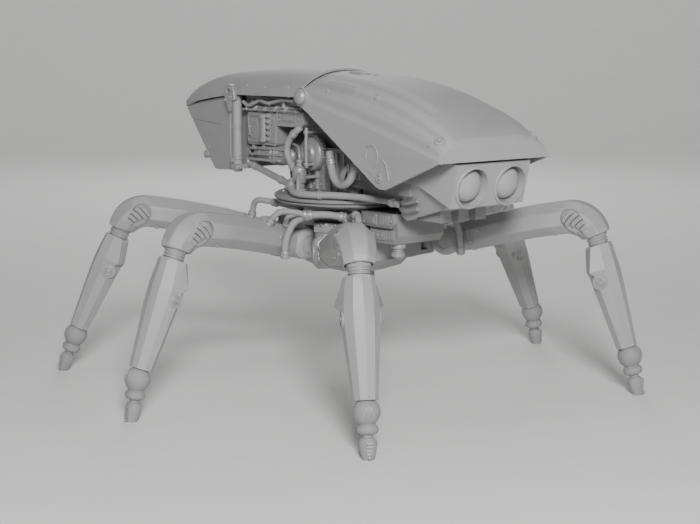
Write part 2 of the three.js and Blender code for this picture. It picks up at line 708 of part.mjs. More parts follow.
// ---------- head ----------
const FACE = { top: [186, 214.3], low: [177.6, 179] };
const nose = [FACE.low[0] - FACE.top[0], FACE.low[1] - FACE.top[1]];
const tip = Math.hypot(...nose);
const FACE_N = [-nose[1] / tip, nose[0] / tip]; // forward and a little down
function eyeAt(x, d) {
  const f = FACE.top[0] + ((EYE.z - FACE.top[1]) * nose[0]) / nose[1];
  return [x, -(f + FACE_N[0] * d), EYE.z + FACE_N[1] * d];
}
const eyeDir = [0, -FACE_N[0], FACE_N[1]];
const headHalf = (f) => 46 - ((f - 118.5) * 5) / 67;
const HEAD = [[118.5, 230], [150, 223.5], FACE.top, FACE.low, [143, 195], [118.5, 197]];
const CHIN = [[174, 184], [172, 180], [112, 162.5], [106, 166], [112, 179.4], [118.5, 186], [118.5, 198],
  [143, 197]];
add(
  "head_block",
  cut(
    join(
      loft([HEAD.map(([f, z]) => [headHalf(f), -f, z]), HEAD.map(([f, z]) => [-headHalf(f), -f, z])]),
      loft([
        CHIN.map(([f, z]) => [38 - (186 - z) * 0.35, -f, z]),
        CHIN.map(([f, z]) => [-38 + (186 - z) * 0.35, -f, z]),
      ]),
    ),
    noseRoom,
    ...[1, -1].map((s) => rod(eyeAt(s * EYE.x, -EYE.depth), eyeAt(s * EYE.x, 8), EYE.r, EYE.r + 0.9, 24)),
  ),
  MAT.shell,
);
addPair(
  "eye_lens",
  turned(
    [[0, 0], [14.4, 0], [14.4, 2], [13.7, 4.2], [11.9, 6.6], [8.7, 8.7], [4.7, 9.9], [0, 10.3]],
    eyeAt(EYE.x, -EYE.depth + GAP),
    eyeDir,
    16,
  ),
  MAT.lens,
);

// ---------- hood ----------
const HOOD_TOP = [
  [-8, 286.2], [10, 286], [30, 285], [50, 283.2], [70, 280.8], [90, 277.2], [110, 272.8], [130, 267],
  [150, 259.4],
  [165, 252], [177, 244], [184, 237.4], [187, 232.6],
];
const HOOD_W = [[-8, 56.4], [40, 56.8], [95, 57.6], [140, 60], [187, 63]];
const CREASE = (f) => 262 - 0.2312 * (f + 1);
const SKIRT = [
  [-8, 256.6], [0, 254.6], [8, 250.6], [16, 245.6], [98, 196], [105, 192.2], [111, 190.6], [118, 190.8],
  [186, 216.6], [187, 217],
];
const lin = (table, x) => {
  let i = 0;
  while (i + 2 < table.length && table[i + 1][0] < x) i++;
  const [[x0, y0], [x1, y1]] = [table[i], table[i + 1]];
  return y0 + ((y1 - y0) * (x - x0)) / (x1 - x0);
};
const REAR_P = [[0, 0], [0.22, 0.04], [0.42, 0.14], [0.6, 0.31], [0.82, 0.62], [1, 1]];
const FORE_P = [[0, 0], [0.3, 0.02], [0.56, 0.08], [0.76, 0.22], [0.91, 0.56], [1, 1]];
function hoodRing(f) {
  const zt = at(HOOD_TOP, f),
    w = at(HOOD_W, f),
    zc = CREASE(f),
    zb = lin(SKIRT, f);
  const k = Math.min(1, Math.max(0, (f + 8) / 70));
  const half = REAR_P.map(([u, d], i) => {
    const uu = u + (FORE_P[i][0] - u) * k,
      dd = d + (FORE_P[i][1] - d) * k;
    return [uu * w, zt - dd * (zt - zc)];
  });
  half.push([w + 0.4, zb]);
  const t = HOOD.wall;
  const inner = half.map(([x, z], i) => {
    if (i === half.length - 1) return [x - t, zb];
    const under = z - t + (i === half.length - 2 ? 0.6 : 0);
    const flat = Math.min(under, zc - 1.8);
    const lip = Math.min(1, Math.max(0, (f - 166) / 21));
    return [Math.max(0, x * (1 - t / w)), under + (flat - under) * lip];
  });
  const outer = [...half.slice(1).reverse().map(([x, z]) => [-x, z]), ...half];
  const back = [...inner.slice().reverse(), ...inner.slice(1).map(([x, z]) => [-x, z])];
  return [...outer, ...back].map(([x, z]) => [x, -f, z]);
}
const hoodStations = [-8, 4, 16, 40, 66, 98, 107, 118, 138, 158, 172, 181, 187];
const lobe = (s) => rod([s * 54.2, 0, HOOD.pivotZ], [s * 57.2, 0, HOOD.pivotZ], 7.4, 7.4, 14);
add(
  "hood",
  cut(
    join(loft(hoodStations.map(hoodRing)), lobe(1), lobe(-1)),
    rod([-70, 0, HOOD.pivotZ], [-39, 0, HOOD.pivotZ], 4.4, 4.4, 12),
    rod([39, 0, HOOD.pivotZ], [70, 0, HOOD.pivotZ], 4.4, 4.4, 12),
  ),
  MAT.shell,
);
addPair(
  "hood_pin",
  turned([[0, 0], [4, 0], [4, 19.3], [7.2, 19.3], [7.2, 20.8], [6, 23], [3.6, 24.4], [0, 25]],
    [38.3, 0, HOOD.pivotZ], [1, 0, 0], 12),
  MAT.metal,
);

export default robot;
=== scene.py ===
"""Hexapod spider robot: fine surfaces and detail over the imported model.

Metres, +Z up, the head faces -Y and the robot's left side is +X. Shapes are written in millimetres.
A point on the hub or turret is (forward, left, height) from the turret axis, turned into the frame by spot().
"""
import json
import math

import bmesh
import bpy
from mathutils import Matrix, Vector


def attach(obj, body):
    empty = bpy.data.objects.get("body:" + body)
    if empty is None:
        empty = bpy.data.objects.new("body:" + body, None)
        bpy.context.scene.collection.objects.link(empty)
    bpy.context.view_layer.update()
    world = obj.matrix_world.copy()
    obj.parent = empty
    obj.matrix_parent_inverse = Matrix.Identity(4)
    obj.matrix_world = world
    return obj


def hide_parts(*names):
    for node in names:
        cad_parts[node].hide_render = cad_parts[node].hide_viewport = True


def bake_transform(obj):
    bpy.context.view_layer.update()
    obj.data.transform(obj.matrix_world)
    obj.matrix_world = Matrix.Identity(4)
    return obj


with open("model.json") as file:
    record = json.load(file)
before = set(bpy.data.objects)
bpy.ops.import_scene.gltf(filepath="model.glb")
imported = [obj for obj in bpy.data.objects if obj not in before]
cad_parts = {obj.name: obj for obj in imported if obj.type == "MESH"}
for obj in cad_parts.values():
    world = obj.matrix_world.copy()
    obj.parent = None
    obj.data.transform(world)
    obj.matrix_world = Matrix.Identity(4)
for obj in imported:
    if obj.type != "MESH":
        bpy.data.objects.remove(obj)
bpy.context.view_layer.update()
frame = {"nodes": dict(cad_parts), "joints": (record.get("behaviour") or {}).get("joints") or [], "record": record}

MM = 0.001
JOINTS = {j["name"]: j for j in frame["joints"]}
MOUNTS = {m["name"]: m for m in frame["record"]["mounts"]}
AXIS_Y = JOINTS["turret_yaw"]["pos_m"][1] / MM  # the turret axis, front to back
GROUND = 2  # height at which the ground lies in the heights used here
LEGS = [row + "_" + side for row in ("front", "mid", "rear") for side in ("left", "right")]
SIDES = (("left", 1), ("right", -1))
UP = (0, 0, 1)


def spot(forward, left, height):
    """A point of the hub or turret as (x, y, z) in millimetres in the frame."""
    return Vector((left, AXIS_Y - forward, height - GROUND))


def on_section(forward, height, left):
    return spot(forward, left, height)


def mirrored(side):
    """spot() for one side of the robot, 1 for left and -1 for right, with left counted outwards."""
    return lambda forward, out, height: spot(forward, side * out, height)


# ---------- camera, light and floor ----------
def make_camera():
    data = bpy.data.cameras.new("camera")
    data.lens, data.sensor_width = 70.4, 36
    data.clip_start, data.clip_end = 0.01, 50
    camera = bpy.data.objects.new("camera", data)
    camera.location = (-0.7879, -0.9744, 0.3059)
    camera.rotation_euler = (math.radians(90 - 8.94), 0, math.radians(-38.8))
    bpy.context.scene.collection.objects.link(camera)
    bpy.context.scene.camera = camera


def area_light(name, place, size, watts, aim=(0, 0, 0.15)):
    data = bpy.data.lights.new(name, "AREA")
    data.shape, data.size, data.energy = "DISK", size, watts
    lamp = bpy.data.objects.new(name, data)
    lamp.location = place
    lamp.rotation_euler = (Vector(aim) - Vector(place)).to_track_quat("-Z", "Y").to_euler()
    bpy.context.scene.collection.objects.link(lamp)


def make_studio():
    area_light("key", (-0.86, -1.26, 0.88), 0.42, 33)
    area_light("top", (0.1, 0.3, 2.0), 1.4, 4)
    area_light("back", (1.3, 1.7, 1.2), 0.9, 7)
    area_light("backdrop", (0.5, 0.7, 2.4), 1.2, 44, aim=(2.4, 3.0, 1.4))
    world = bpy.data.worlds.new("studio")
    world.use_nodes = True
    world.node_tree.nodes["Background"].inputs["Color"].default_value = (0.80, 0.81, 0.82, 1)
    world.node_tree.nodes["Background"].inputs["Strength"].default_value = 0.13
    bpy.context.scene.world = world


# ---------- materials ----------
def node(tree, kind, x, **inputs):
    """A shader node with some of its inputs set, spaces in their names written as underscores."""
    made = tree.nodes.new(kind)
    made.location = (x, 0)
    for key, value in inputs.items():
        made.inputs[key.replace("_", " ")].default_value = value
    return made


def finish_material(name, light, dark, rough, grain, relief, metallic=0.0, streak=0.0):
    """Moulded or painted surface: cloudy tone, fine grain, handled roughness and a shallow relief.
    light and dark are the two tones, rough the two roughness values, grain the grain's size in mm."""
    made = bpy.data.materials.new(name)
    made.use_nodes = True
    tree = made.node_tree
    tree.nodes.clear()
    out = node(tree, "ShaderNodeOutputMaterial", 900)
    shader = node(tree, "ShaderNodeBsdfPrincipled", 600, Metallic=metallic)
    place = node(tree, "ShaderNodeTexCoord", -900)
    clouds = node(tree, "ShaderNodeTexNoise", -500, Scale=26.0, Detail=5.0, Roughness=0.6)
    fine = node(tree, "ShaderNodeTexNoise", -500, Scale=1000.0 / grain, Detail=3.0, Roughness=0.6)
    brushed = node(tree, "ShaderNodeMapping", -700, Scale=(1, 1, 0.08 if streak else 1))
    tone = node(tree, "ShaderNodeMix", 0)
    tone.inputs[0].default_value = 0.35 + streak
    ramp = node(tree, "ShaderNodeValToRGB", 200)
    for stop, share, colour in zip(ramp.color_ramp.elements, (0.32, 0.68), (dark, light)):
        stop.position, stop.color = share, (*colour, 1)
    worn = node(tree, "ShaderNodeNewGeometry", -500)
    edge = node(tree, "ShaderNodeMapRange", 0, From_Min=0.53, From_Max=0.62, To_Min=0.0, To_Max=0.35)
    bare = node(tree, "ShaderNodeMix", 400)
    bare.data_type = "RGBA"
    bare.inputs[7].default_value = (*[min(1, 1.35 * c) for c in light], 1)
    sheen = node(tree, "ShaderNodeMapRange", 200, To_Min=rough[0], To_Max=rough[1])
    bump = node(tree, "ShaderNodeBump", 400, Strength=relief, Distance=0.0002)
    for source, output, target, entry in (
            (place, "Object", clouds, "Vector"), (place, "Object", brushed, "Vector"),
            (brushed, "Vector", fine, "Vector"), (clouds, "Fac", tone, 2), (fine, "Fac", tone, 3),
            (tone, 0, ramp, "Fac"), (worn, "Pointiness", edge, "Value"), (edge, "Result", bare, 0),
            (ramp, "Color", bare, 6), (bare, 2, shader, "Base Color"), (clouds, "Fac", sheen, "Value"),
            (sheen, "Result", shader, "Roughness"), (fine, "Fac", bump, "Height"),
            (bump, "Normal", shader, "Normal"), (shader, "BSDF", out, "Surface")):
        tree.links.new(source.outputs[output], target.inputs[entry])
    return made


def grey(value):
    return (value,) * 3


MATERIAL = {
    "shell": finish_material("shell", grey(0.31), grey(0.272), (0.46, 0.58), 0.7, 0.25),
    "limb": finish_material("limb", grey(0.302), grey(0.264), (0.44, 0.56), 0.8, 0.3),
    "frame": finish_material("frame", grey(0.262), grey(0.222), (0.42, 0.58), 0.5, 0.4, 0.15),
    "metal": finish_material("metal", grey(0.36), grey(0.29), (0.32, 0.46), 0.4, 0.2, 0.35, 0.25),
    "rubber": finish_material("rubber", grey(0.29), grey(0.25), (0.6, 0.78), 0.9, 0.6),
    "lens": finish_material("lens", grey(0.36), grey(0.335), (0.22, 0.3), 1.5, 0.05),
}


def make_floor():
    """A pale round floor that curves up into the backdrop."""
    flat, bend, wall = 2.6, 1.4, 1.6
    profile = [(0.0, 0.0), (1.0, 0.0), (flat, 0.0)]
    steps = 14
    for i in range(1, steps + 1):
        a = i * math.pi / 2 / steps
        profile.append((flat + bend * math.sin(a), bend * (1 - math.cos(a))))
    profile.append((flat + bend, bend + wall))
    seg = 96
    verts = [(0, 0, 0)]
    for r, z in profile[1:]:
        verts += [(r * math.cos(j * math.tau / seg), r * math.sin(j * math.tau / seg), z) for j in range(seg)]
    faces = [(0, 1 + j, 1 + (j + 1) % seg) for j in range(seg)]
    for i in range(len(profile) - 2):
        a, b = 1 + i * seg, 1 + (i + 1) * seg
        faces += [(a + j, b + j, b + (j + 1) % seg, a + (j + 1) % seg) for j in range(seg)]
    mesh = bpy.data.meshes.new("floor")
    mesh.from_pydata(verts, [], faces)
    mesh.shade_smooth()
    floor = bpy.data.objects.new("floor", mesh)
    bpy.context.scene.collection.objects.link(floor)
    made = finish_material("floor", (0.80, 0.80, 0.79), (0.77, 0.77, 0.76), (0.7, 0.8), 6, 0.05)
    mesh.materials.append(made)


# ---------- mesh kit ----------
class Shape:
    """Closed solids gathered as vertices in millimetres and faces."""

    def __init__(self):
        self.verts, self.faces = [], []

    def add(self, verts, faces):
        base = len(self.verts)
        self.verts += [Vector(v) for v in verts]
        self.faces += [tuple(base + i for i in f) for f in faces]
        return self

    def skin(self, rings):
        """Skin through rings of equal length, with a cap on each end."""
        n = len(rings[0])
        faces = []
        for i in range(len(rings) - 1):
            for j in range(n):
                k = (j + 1) % n
                faces.append((i * n + j, i * n + k, (i + 1) * n + k, (i + 1) * n + j))
        last = (len(rings) - 1) * n
        faces.append(tuple(range(n - 1, -1, -1)))
        faces.append(tuple(last + j for j in range(n)))
        return self.add([p for ring in rings for p in ring], faces)

    def turn(self, profile, origin, direction, seg=32):
        """Turned solid from a profile of (radius, distance) along direction, closed onto the axis at both
        ends unless the profile comes back to its first point."""
        spin, tiny = facing(direction), 0.01  # a radius of 0 would fold the skin
        start, end = profile[0], profile[-1]
        if start != end:
            profile = [(0, start[1])] * (start[0] > 0) + list(profile) + [(0, end[1])] * (end[0] > 0)
        return self.skin([
            [Vector(origin) + spin @ Vector((max(r, tiny) * math.cos(a), max(r, tiny) * math.sin(a), d))
             for a in (j * math.tau / seg for j in range(seg))] for r, d in profile])

    def tube(self, path, radius, seg=12):
        """Round bar or hose along a path."""
        rings = []
        side = None
        for i, p in enumerate(path):
            ahead = heading_at(path, i).normalized()
            if side is None:
                side = ahead.orthogonal().normalized()
            side = (side - ahead * side.dot(ahead)).normalized()
            other = ahead.cross(side)
            rings.append([p + side * radius * math.cos(a) + other * radius * math.sin(a)
                          for a in (j * math.tau / seg for j in range(seg))])
        return self.skin(rings)

    def slab(self, outline, low, high, put):
        """Prism over an outline of (a, b) points; put(a, b, depth) lifts it into space."""
        return self.skin([[put(a, b, low) for a, b in outline], [put(a, b, high) for a, b in outline]])

    def block(self, low, high, turned=None):
        """Box between two corners, turned about its middle by a matrix if one is given."""
        lo, hi = Vector(low), Vector(high)
        mid, half = (lo + hi) / 2, (hi - lo) / 2
        spin = turned or Matrix.Identity(3)
        ring = [(-1, -1), (1, -1), (1, 1), (-1, 1)]
        return self.skin([
            [mid + spin @ Vector((u * half.x, v * half.y, w * half.z)) for u, v in ring] for w in (-1, 1)])

    def moved(self, matrix):
        out = Shape()
        out.verts = [matrix @ v for v in self.verts]
        out.faces = list(self.faces)
        return out


def heading_at(path, i):
    """From the point before the i-th of a path to the one after it."""
    return path[min(i + 1, len(path) - 1)] - path[max(i - 1, 0)]


def facing(direction):
    """3x3 matrix whose z column is the direction."""
    return Vector(direction).normalized().to_track_quat("Z", "Y").to_matrix()


def smooth_path(points, per=8):
    """Catmull-Rom curve through the points."""
    pts = [Vector(p) for p in points]
    ends = [2 * pts[0] - pts[1], *pts, 2 * pts[-1] - pts[-2]]
    out = []
    for i in range(1, len(ends) - 2):
        a, b, c, d = ends[i - 1:i + 3]
        for k in range(per):
            t = k / per
            out.append(0.5 * (2 * b + (c - a) * t + (2 * a - 5 * b + 4 * c - d) * t ** 2
                              + (3 * b - a - 3 * c + d) * t ** 3))
    return [*out, pts[-1]]


def brick(shape, side, forward, out, height):
    """Box between two values of each direction, with out counted from the middle towards the side."""
    ends = list(zip(*(mirrored(side)(*p) for p in zip(forward, out, height))))
    return shape.block([min(e) for e in ends], [max(e) for e in ends])


def pipe(shape, side, points, radius, seg=14, per=7):
    """Rounded rod or hose through (forward, out, height) points."""
    return shape.tube(smooth_path([mirrored(side)(*p) for p in points], per), radius, seg)


def collar(shape, place, direction, r, long):
    """Short stepped ring round a hose or rod, or a plug's body."""
    h = long / 2
    return shape.turn([(r * 0.86, -h), (r, -h * 0.7), (r, -h * 0.15), (r * 0.9, 0), (r, h * 0.15),
                       (r, h * 0.7), (r * 0.86, h)], place, direction, 24)


def screw(shape, place, out, r, tall=1.2, sink=1.0, seg=20):
    """Pan head screw with a socket, standing on a surface."""
    return shape.turn([(r, -sink), (r, tall * 0.5), (r * 0.86, tall * 0.85), (r * 0.6, tall),
                       (r * 0.48, tall), (r * 0.44, tall * 0.4)], place, out, seg)


def build_mesh(shape, name):
    mesh = bpy.data.meshes.new(name)
    mesh.from_pydata([v * MM for v in shape.verts], [], shape.faces)
    work = bmesh.new()
    work.from_mesh(mesh)
    bmesh.ops.remove_doubles(work, verts=work.verts, dist=0.02 * MM)
    bmesh.ops.dissolve_degenerate(work, dist=0.005 * MM, edges=work.edges)
    bmesh.ops.recalc_face_normals(work, faces=work.faces)
    work.to_mesh(mesh)
    work.free()
    return mesh


def soften(obj, width, angle=32):
    """Rounds the edges sharper than the angle, width in millimetres, and evens the shading."""
    if width:
        bevel = obj.modifiers.new("edges", "BEVEL")
        bevel.width, bevel.segments = width * MM, 2
        bevel.limit_method, bevel.angle_limit = "ANGLE", math.radians(angle)
        bevel.use_clamp_overlap = True
    even = obj.modifiers.new("shading", "WEIGHTED_NORMAL")
    even.keep_sharp = True


def piece(name, shape, slot, body, round_edge=0.3, angle=32, sharp=42, node=None):
    """A finished piece from a shape in millimetres: material, edges, body, and the node it stands for."""
    mesh = shape if isinstance(shape, bpy.types.Mesh) else build_mesh(shape, name)
    mesh.name = name
    obj = bpy.data.objects.new(name, mesh)
    bpy.context.scene.collection.objects.link(obj)
    mesh.shade_smooth()
    mesh.set_sharp_from_angle(angle=math.radians(sharp))
    mesh.materials.clear()
    mesh.materials.append(MATERIAL[slot])
    soften(obj, round_edge, angle)
    if body:
        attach(obj, body)
    if node:
        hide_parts(node)
    return obj


def solve(base, *steps):
    """Boolean work on shapes: each step is ("UNION" or "DIFFERENCE", shape). Returns a mesh."""
    obj = bpy.data.objects.new("work", build_mesh(base, "work"))
    bpy.context.scene.collection.objects.link(obj)
    tools = []
    for kind, shape in steps:
        tool = bpy.data.objects.new("tool", build_mesh(shape, "tool"))
        bpy.context.scene.collection.objects.link(tool)
        tools.append(tool)
        modifier = obj.modifiers.new("cut", "BOOLEAN")
        modifier.operation, modifier.solver, modifier.object = kind, "EXACT", tool
        modifier.use_self = False
    bpy.context.view_layer.update()
    graph = bpy.context.evaluated_depsgraph_get()
    mesh = bpy.data.meshes.new_from_object(obj.evaluated_get(graph))
    for done in [obj, *tools]:
        bpy.data.objects.remove(done)
    return mesh


def placed(mesh, matrix):
    """A copy of a mesh moved by a matrix that is in metres."""
    copy = mesh.copy()
    copy.transform(matrix)
    if matrix.determinant() < 0:
        copy.flip_normals()
    return copy


def keep(name, slot):
    """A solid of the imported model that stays: it gets its material and softened edges."""
    obj = frame["nodes"][name]
    obj.data.materials.clear()
    obj.data.materials.append(MATERIAL[slot])
    weld = obj.modifiers.new("weld", "WELD")
    weld.merge_threshold = 0.002 * MM
    for polygon in obj.data.polygons:
        polygon.use_smooth = True
    soften(obj, 0.45, 28)


# ---------- legs ----------
HIP_KNUCKLE, TONGUE, CHEEK = 14.0, 6.7, 12.0
SEAM, SEAM_TILT = (110.7, 22.7), 8.0
ELBOW, SHIN_TILT, SHIN = 24.0, -67.9, 112.4
BEAM_HIGH, BEAM_WIDE = 14.5, 14.8
COXA = 22.0  # from the yaw axis to the lift axis


def heading(deg):
    return Vector((math.cos(math.radians(deg)), math.sin(math.radians(deg))))


def bend_point(deg):
    """A point on the elbow's arc where the limb heads along deg, as (s, z) in the leg's plane."""
    return ELBOW_CENTRE + ELBOW * heading(deg + 90)


ELBOW_CENTRE = Vector(SEAM) - ELBOW * heading(SEAM_TILT + 90)
KNEE = bend_point(SHIN_TILT)


def soft_octagon(across, up, fillet, per=5):
    """Octagon with flats at the half sizes across and up, and corners rounded by fillet, from 0 to 1."""
    points = []
    for corner in range(8):
        mid = math.pi / 8 + corner * math.pi / 4
        reach = (1 - fillet) / math.cos(math.pi / 8)
        for k in range(per):
            a = mid + (k / (per - 1) - 0.5) * math.pi / 4
            points.append((across * (reach * math.cos(mid) + fillet * math.cos(a)),
                           up * (reach * math.sin(mid) + fillet * math.sin(a))))
    return points


def limb_ring(at, deg, across, up, fillet):
    normal = heading(deg + 90)
    return [Vector((at[0] + normal.x * v, u, at[1] + normal.y * v))
            for u, v in soft_octagon(across, up, fillet)]


def limb_shape():
    """The femur's beam and elbow as one skin."""
    beam = [  # s, z, heading, half height, half width, fillet
        (10, 1.6, 13.5, 12.9, 12.2, 0.6), (16, 3.0, 13.5, 13.4, 13.2, 0.4), (26, 5.4, 13.5, 14.0, 14.3, 0.25),
        (40, 9.0, 13.3, 14.4, 14.7, 0.2), (55, 12.6, 12.8, BEAM_HIGH, BEAM_WIDE, 0.18),
        (69, 15.5, 11.6, BEAM_HIGH, BEAM_WIDE, 0.18), (82, 18.2, 10.5, BEAM_HIGH, BEAM_WIDE, 0.18),
        (97, 20.7, 9.0, BEAM_HIGH, BEAM_WIDE, 0.18), (*SEAM, SEAM_TILT, BEAM_HIGH, BEAM_WIDE, 0.2)]
    rings = [limb_ring((s, z), deg, wide, high, fillet) for s, z, deg, high, wide, fillet in beam]
    turns = 18
    for i in range(1, turns + 1):
        f = i / turns
        bulge = 1 + 0.045 * math.sin(math.pi * f)
        deg = SEAM_TILT + (SHIN_TILT - SEAM_TILT) * f
        wide = (BEAM_WIDE - 2.2 * f * f) * bulge
        high = (BEAM_HIGH - 1.9 * f * f) * bulge
        rings.append(limb_ring(bend_point(deg), deg, wide, high, 0.2 + 0.12 * f))
    # rounded lip round the knee socket
    for inset, along in ((0.6, 0.6), (1.6, 1.0)):
        end = KNEE + heading(SHIN_TILT) * along
        rings.append(limb_ring(end, SHIN_TILT, 12.6 - inset, 12.6 - inset, 0.4))
    return Shape().skin(rings)


PETAL_AT, PETAL_HEAD = Vector(SEAM) + Vector((9.5, -3.4)), -42.0


def petal_point(along, across):
    """Point of the elbow's side insert, in the leg's plane."""
    return PETAL_AT + heading(PETAL_HEAD) * along + heading(PETAL_HEAD + 90) * across


def petal_outline(grow):
    points, count = [], 36
    for i in range(count):
        a = i * math.tau / count
        along = (12.6 + grow) * math.cos(a) * (1 - 0.1 * math.cos(a))
        across = (8.6 + grow) * math.sin(a) * (1 - 0.28 * math.cos(a))
        points.append(petal_point(along, across))
    return points


def on_leg(s, z, t):
    """Point of the leg's plane, s outwards and z up from the lift axis, moved sideways by t."""
    return Vector((s, t, z))


def femur_mesh():
    knuckle = Shape()
    knuckle.turn([(0, -16.6), (5, -16.4), (9.6, -15.3), (12.4, -13.4), (12.8, -CHEEK), (13.6, -CHEEK),
                  (HIP_KNUCKLE, -CHEEK + 0.6), (HIP_KNUCKLE, CHEEK - 0.6), (13.6, CHEEK), (12.8, CHEEK),
                  (12.4, 13.4), (9.6, 15.3), (5, 16.4), (0, 16.6)], (0, 0, 0), (0, 1, 0), 56)
    slot = Shape().block((-40, -TONGUE - 0.3, -40), (0, TONGUE + 0.3, 40))
    slot_round = Shape().turn([(13.3, -TONGUE - 0.3), (13.3, TONGUE + 0.3)],
                              (0, 0, 0), (0, 1, 0), 48)
    socket = Shape().turn([(0, -12), (6.5, -11), (10.4, -6), (11.3, 0), (11.3, 8)],
                          on_leg(*KNEE, 0), on_leg(*heading(SHIN_TILT), 0), 40)
    pockets = [Shape().slab(petal_outline(0), low, high, on_leg) for low, high in ((11.6, 22), (-22, -11.6))]
    return solve(limb_shape(), ("UNION", knuckle), ("DIFFERENCE", slot), ("DIFFERENCE", slot_round),
                 ("DIFFERENCE", socket), *[("DIFFERENCE", p) for p in pockets])


def flank_depth(along, across):
    """How far out the limb's side is at a point of the insert."""
    s, z = petal_point(along, across)
    from_line = (Vector((s, z)) - ELBOW_CENTRE).length - ELBOW
    if s < SEAM[0]:
        from_line = (Vector((s, z)) - Vector(SEAM)).dot(heading(SEAM_TILT + 90))
    wide, high = BEAM_WIDE * 1.02, BEAM_HIGH * 1.02
    return min(wide, wide * (1.36 - abs(from_line) / high))


def bellows_shape():
    """Flexible insert of the elbow: five soft ribs on each flank."""
    shape = Shape()
    ribs, samples = 5, 14
    for side in (1, -1):
        for i in range(ribs):
            mid = -11.2 + (i + 0.5) * 22.8 / ribs
            half = 22.8 / ribs / 2 - 0.12
            rings = []
            for k in range(samples + 1):
                v = -1 + 2 * k / samples
                reach = math.sqrt(max(0.02, 1 - (mid / 12.9) ** 2)) * (1 - 0.02 * mid)
                across = v * 8.2 * reach
                out = flank_depth(mid, across)
                crown = 0.45 * math.sqrt(max(0.0, 1 - v * v)) - 0.1
                lean = 2.2 * v * v
                ring = []
                for u, h in ((-1, 0), (-1, 0.55), (-0.8, 0.85), (-0.4, 1), (0.4, 1), (0.8, 0.85), (1, 0.55),
                             (1, 0)):
                    depth = 12.0 + (out - 12.0 + crown) * h
                    s, z = petal_point(mid + lean * 0.5 + u * half, across)
                    ring.append(Vector((s, side * max(depth, 12.0 + 0.2 * h), z)))
                rings.append(ring)
            shape.skin(rings)
        shape.slab(petal_outline(-0.5), *sorted((side * 11.9, side * 13.0)), on_leg)
    return shape


def coxa_shape():
    shape = Shape()
    shape.turn([(3.8, -12.6), (4, -12.2), (4, -9.4), (9.6, -9.4), (10.5, -8.6), (10.5, 4), (9.6, 4.6),
                (9.6, 5.6), (10.5, 6.2), (10.5, 14), (9.7, 14.9), (4, 14.9), (4, 18.5)],
               (-COXA, 0, 0), UP, 40)
    shape.turn([(11.6, -TONGUE), (12.4, -TONGUE + 0.8), (12.4, TONGUE - 0.8), (11.6, TONGUE)],
               (0, 0, 0), (0, 1, 0), 48)
    arm = [(-22, -8.6), (-9, -8.6), (0, -11), (0, 11), (-22, 9)]
    shape.slab(arm, -TONGUE + 0.4, TONGUE - 0.4, on_leg)
    rib = [(-18, -7.6), (-10, -7.6), (-4, -9), (-4, 8.4), (-18, 7.4)]
    shape.slab(rib, -TONGUE, TONGUE, on_leg)
    for side in (1, -1):
        shape.turn([(1.6, 0), (1.6, 0.9), (1.1, 1.3)], (-16.4, side * (TONGUE - 0.1), 2), (0, side, 0), 16)
    return shape


SHIN_RINGS = (  # distance from the knee, then the ten corners as outward and half width pairs
    (9.5, 10.8, 6.2, 9.6, 10.6, 3, 12.2, -5, 7, -10.4),
    (12, 11.8, 6.8, 10.4, 11.4, 3, 12.8, -5.4, 7.4, -11.2),
    (31, 13, 8, 11, 14, 3, 19.3, -10, 8, -15.5), (35, 13, 8, 11, 14, 3, 15.6, -7, 8.4, -14),
    (48, 12.7, 8, 10.8, 13.8, 3, 15, -6, 8.4, -13), (104, 8.9, 5.6, 7.6, 9, 2, 10.1, -3, 6, -8.4))


def shin_shape():
    rings = []
    for w, edge, a1, q1, a2, q2, wing, qw, inner, qi in SHIN_RINGS:
        half = [(edge, 0), (q1, a1), (q2, a2), (qw, wing), (qi, inner)]
        ring = half + [(q, -t) for q, t in reversed(half[1:])]
        rings.append([Vector((q, t, w)) for q, t in ring])
    return Shape().skin(rings)


def tibia_mesh():
    neck = Shape().turn(
        [(5, -7), (8.2, -4.6), (9.6, -1), (9.7, 1), (9.1, 2.6), (8.3, 3.1), (8.3, 3.8), (9.3, 4.4),
         (9.3, 5.2), (8.2, 5.9), (8.2, 6.6), (9.1, 7.2), (9.1, 8), (8, 8.7), (8, 11)],
        (0, 0, 0), UP, 40)
    cup = Shape().turn([(0, -11.4), (5.8, -10), (9.9, -5.7), (11.4, 0), (11.4, 9)],
                       (0, 0, SHIN), UP, 40)
    steps = [("UNION", neck), ("DIFFERENCE", cup)]
    for side in (1, -1):
        steps.append(("UNION", Shape().turn([(6.9, 9), (6.9, 14.6), (6.4, 15.2), (5.6, 15.4), (5.3, 14.7)],
                                            (-4.6, 0, 41.6), (0, side, 0), 36)))
    return solve(shin_shape(), *steps)


def cap_rings():
    """Screw cap inside each ring of the tibia: a washer and a socket head, turned from one profile."""
    shape = Shape()
    for side in (1, -1):
        shape.turn([(4.4, 14), (4.4, 15.1), (3.9, 15.5), (2.9, 15.5), (2.6, 15.0), (2.1, 15.0), (2.0, 15.9),
                    (1.2, 16.1)], (-4.6, 0, 41.6), (0, side, 0), 28)
    return shape


def foot_shape():
    shape = Shape()
    shape.turn([(0, -10.7), (2.8, -10.3), (5.4, -9.2), (7.6, -7.5), (9.2, -5.4), (10.3, -2.8), (10.7, 0),
                (10.3, 2.8), (9.3, 5.2), (7.9, 7.2), (6.6, 8.6), (6.1, 9.2), (6.6, 9.8), (7.7, 10.5),
                (8.3, 11.8), (8.5, 13.2), (8.2, 14.8), (7.2, 16.2), (5.6, 17), (4.4, 17.4), (4.1, 18.4),
                (4.2, 21)], (0, 0, 0), UP, 44)
    rings = []
    for w, a, q in ((19.4, 4.0, 3.8), (19.8, 5.4, 5.0), (20.8, 6.3, 5.9), (22.4, 6.8, 6.3), (25, 7.0, 6.5),
                    (28.5, 6.5, 6.1), (32, 5.7, 5.4), (36, 4.6, 4.4), (39.5, 3.6, 3.6), (41, 3.1, 3.1)):
        rings.append([Vector((q * u, a * v, w)) for u, v in soft_octagon(1, 1, 0.75, 4)])
    return shape.skin(rings)


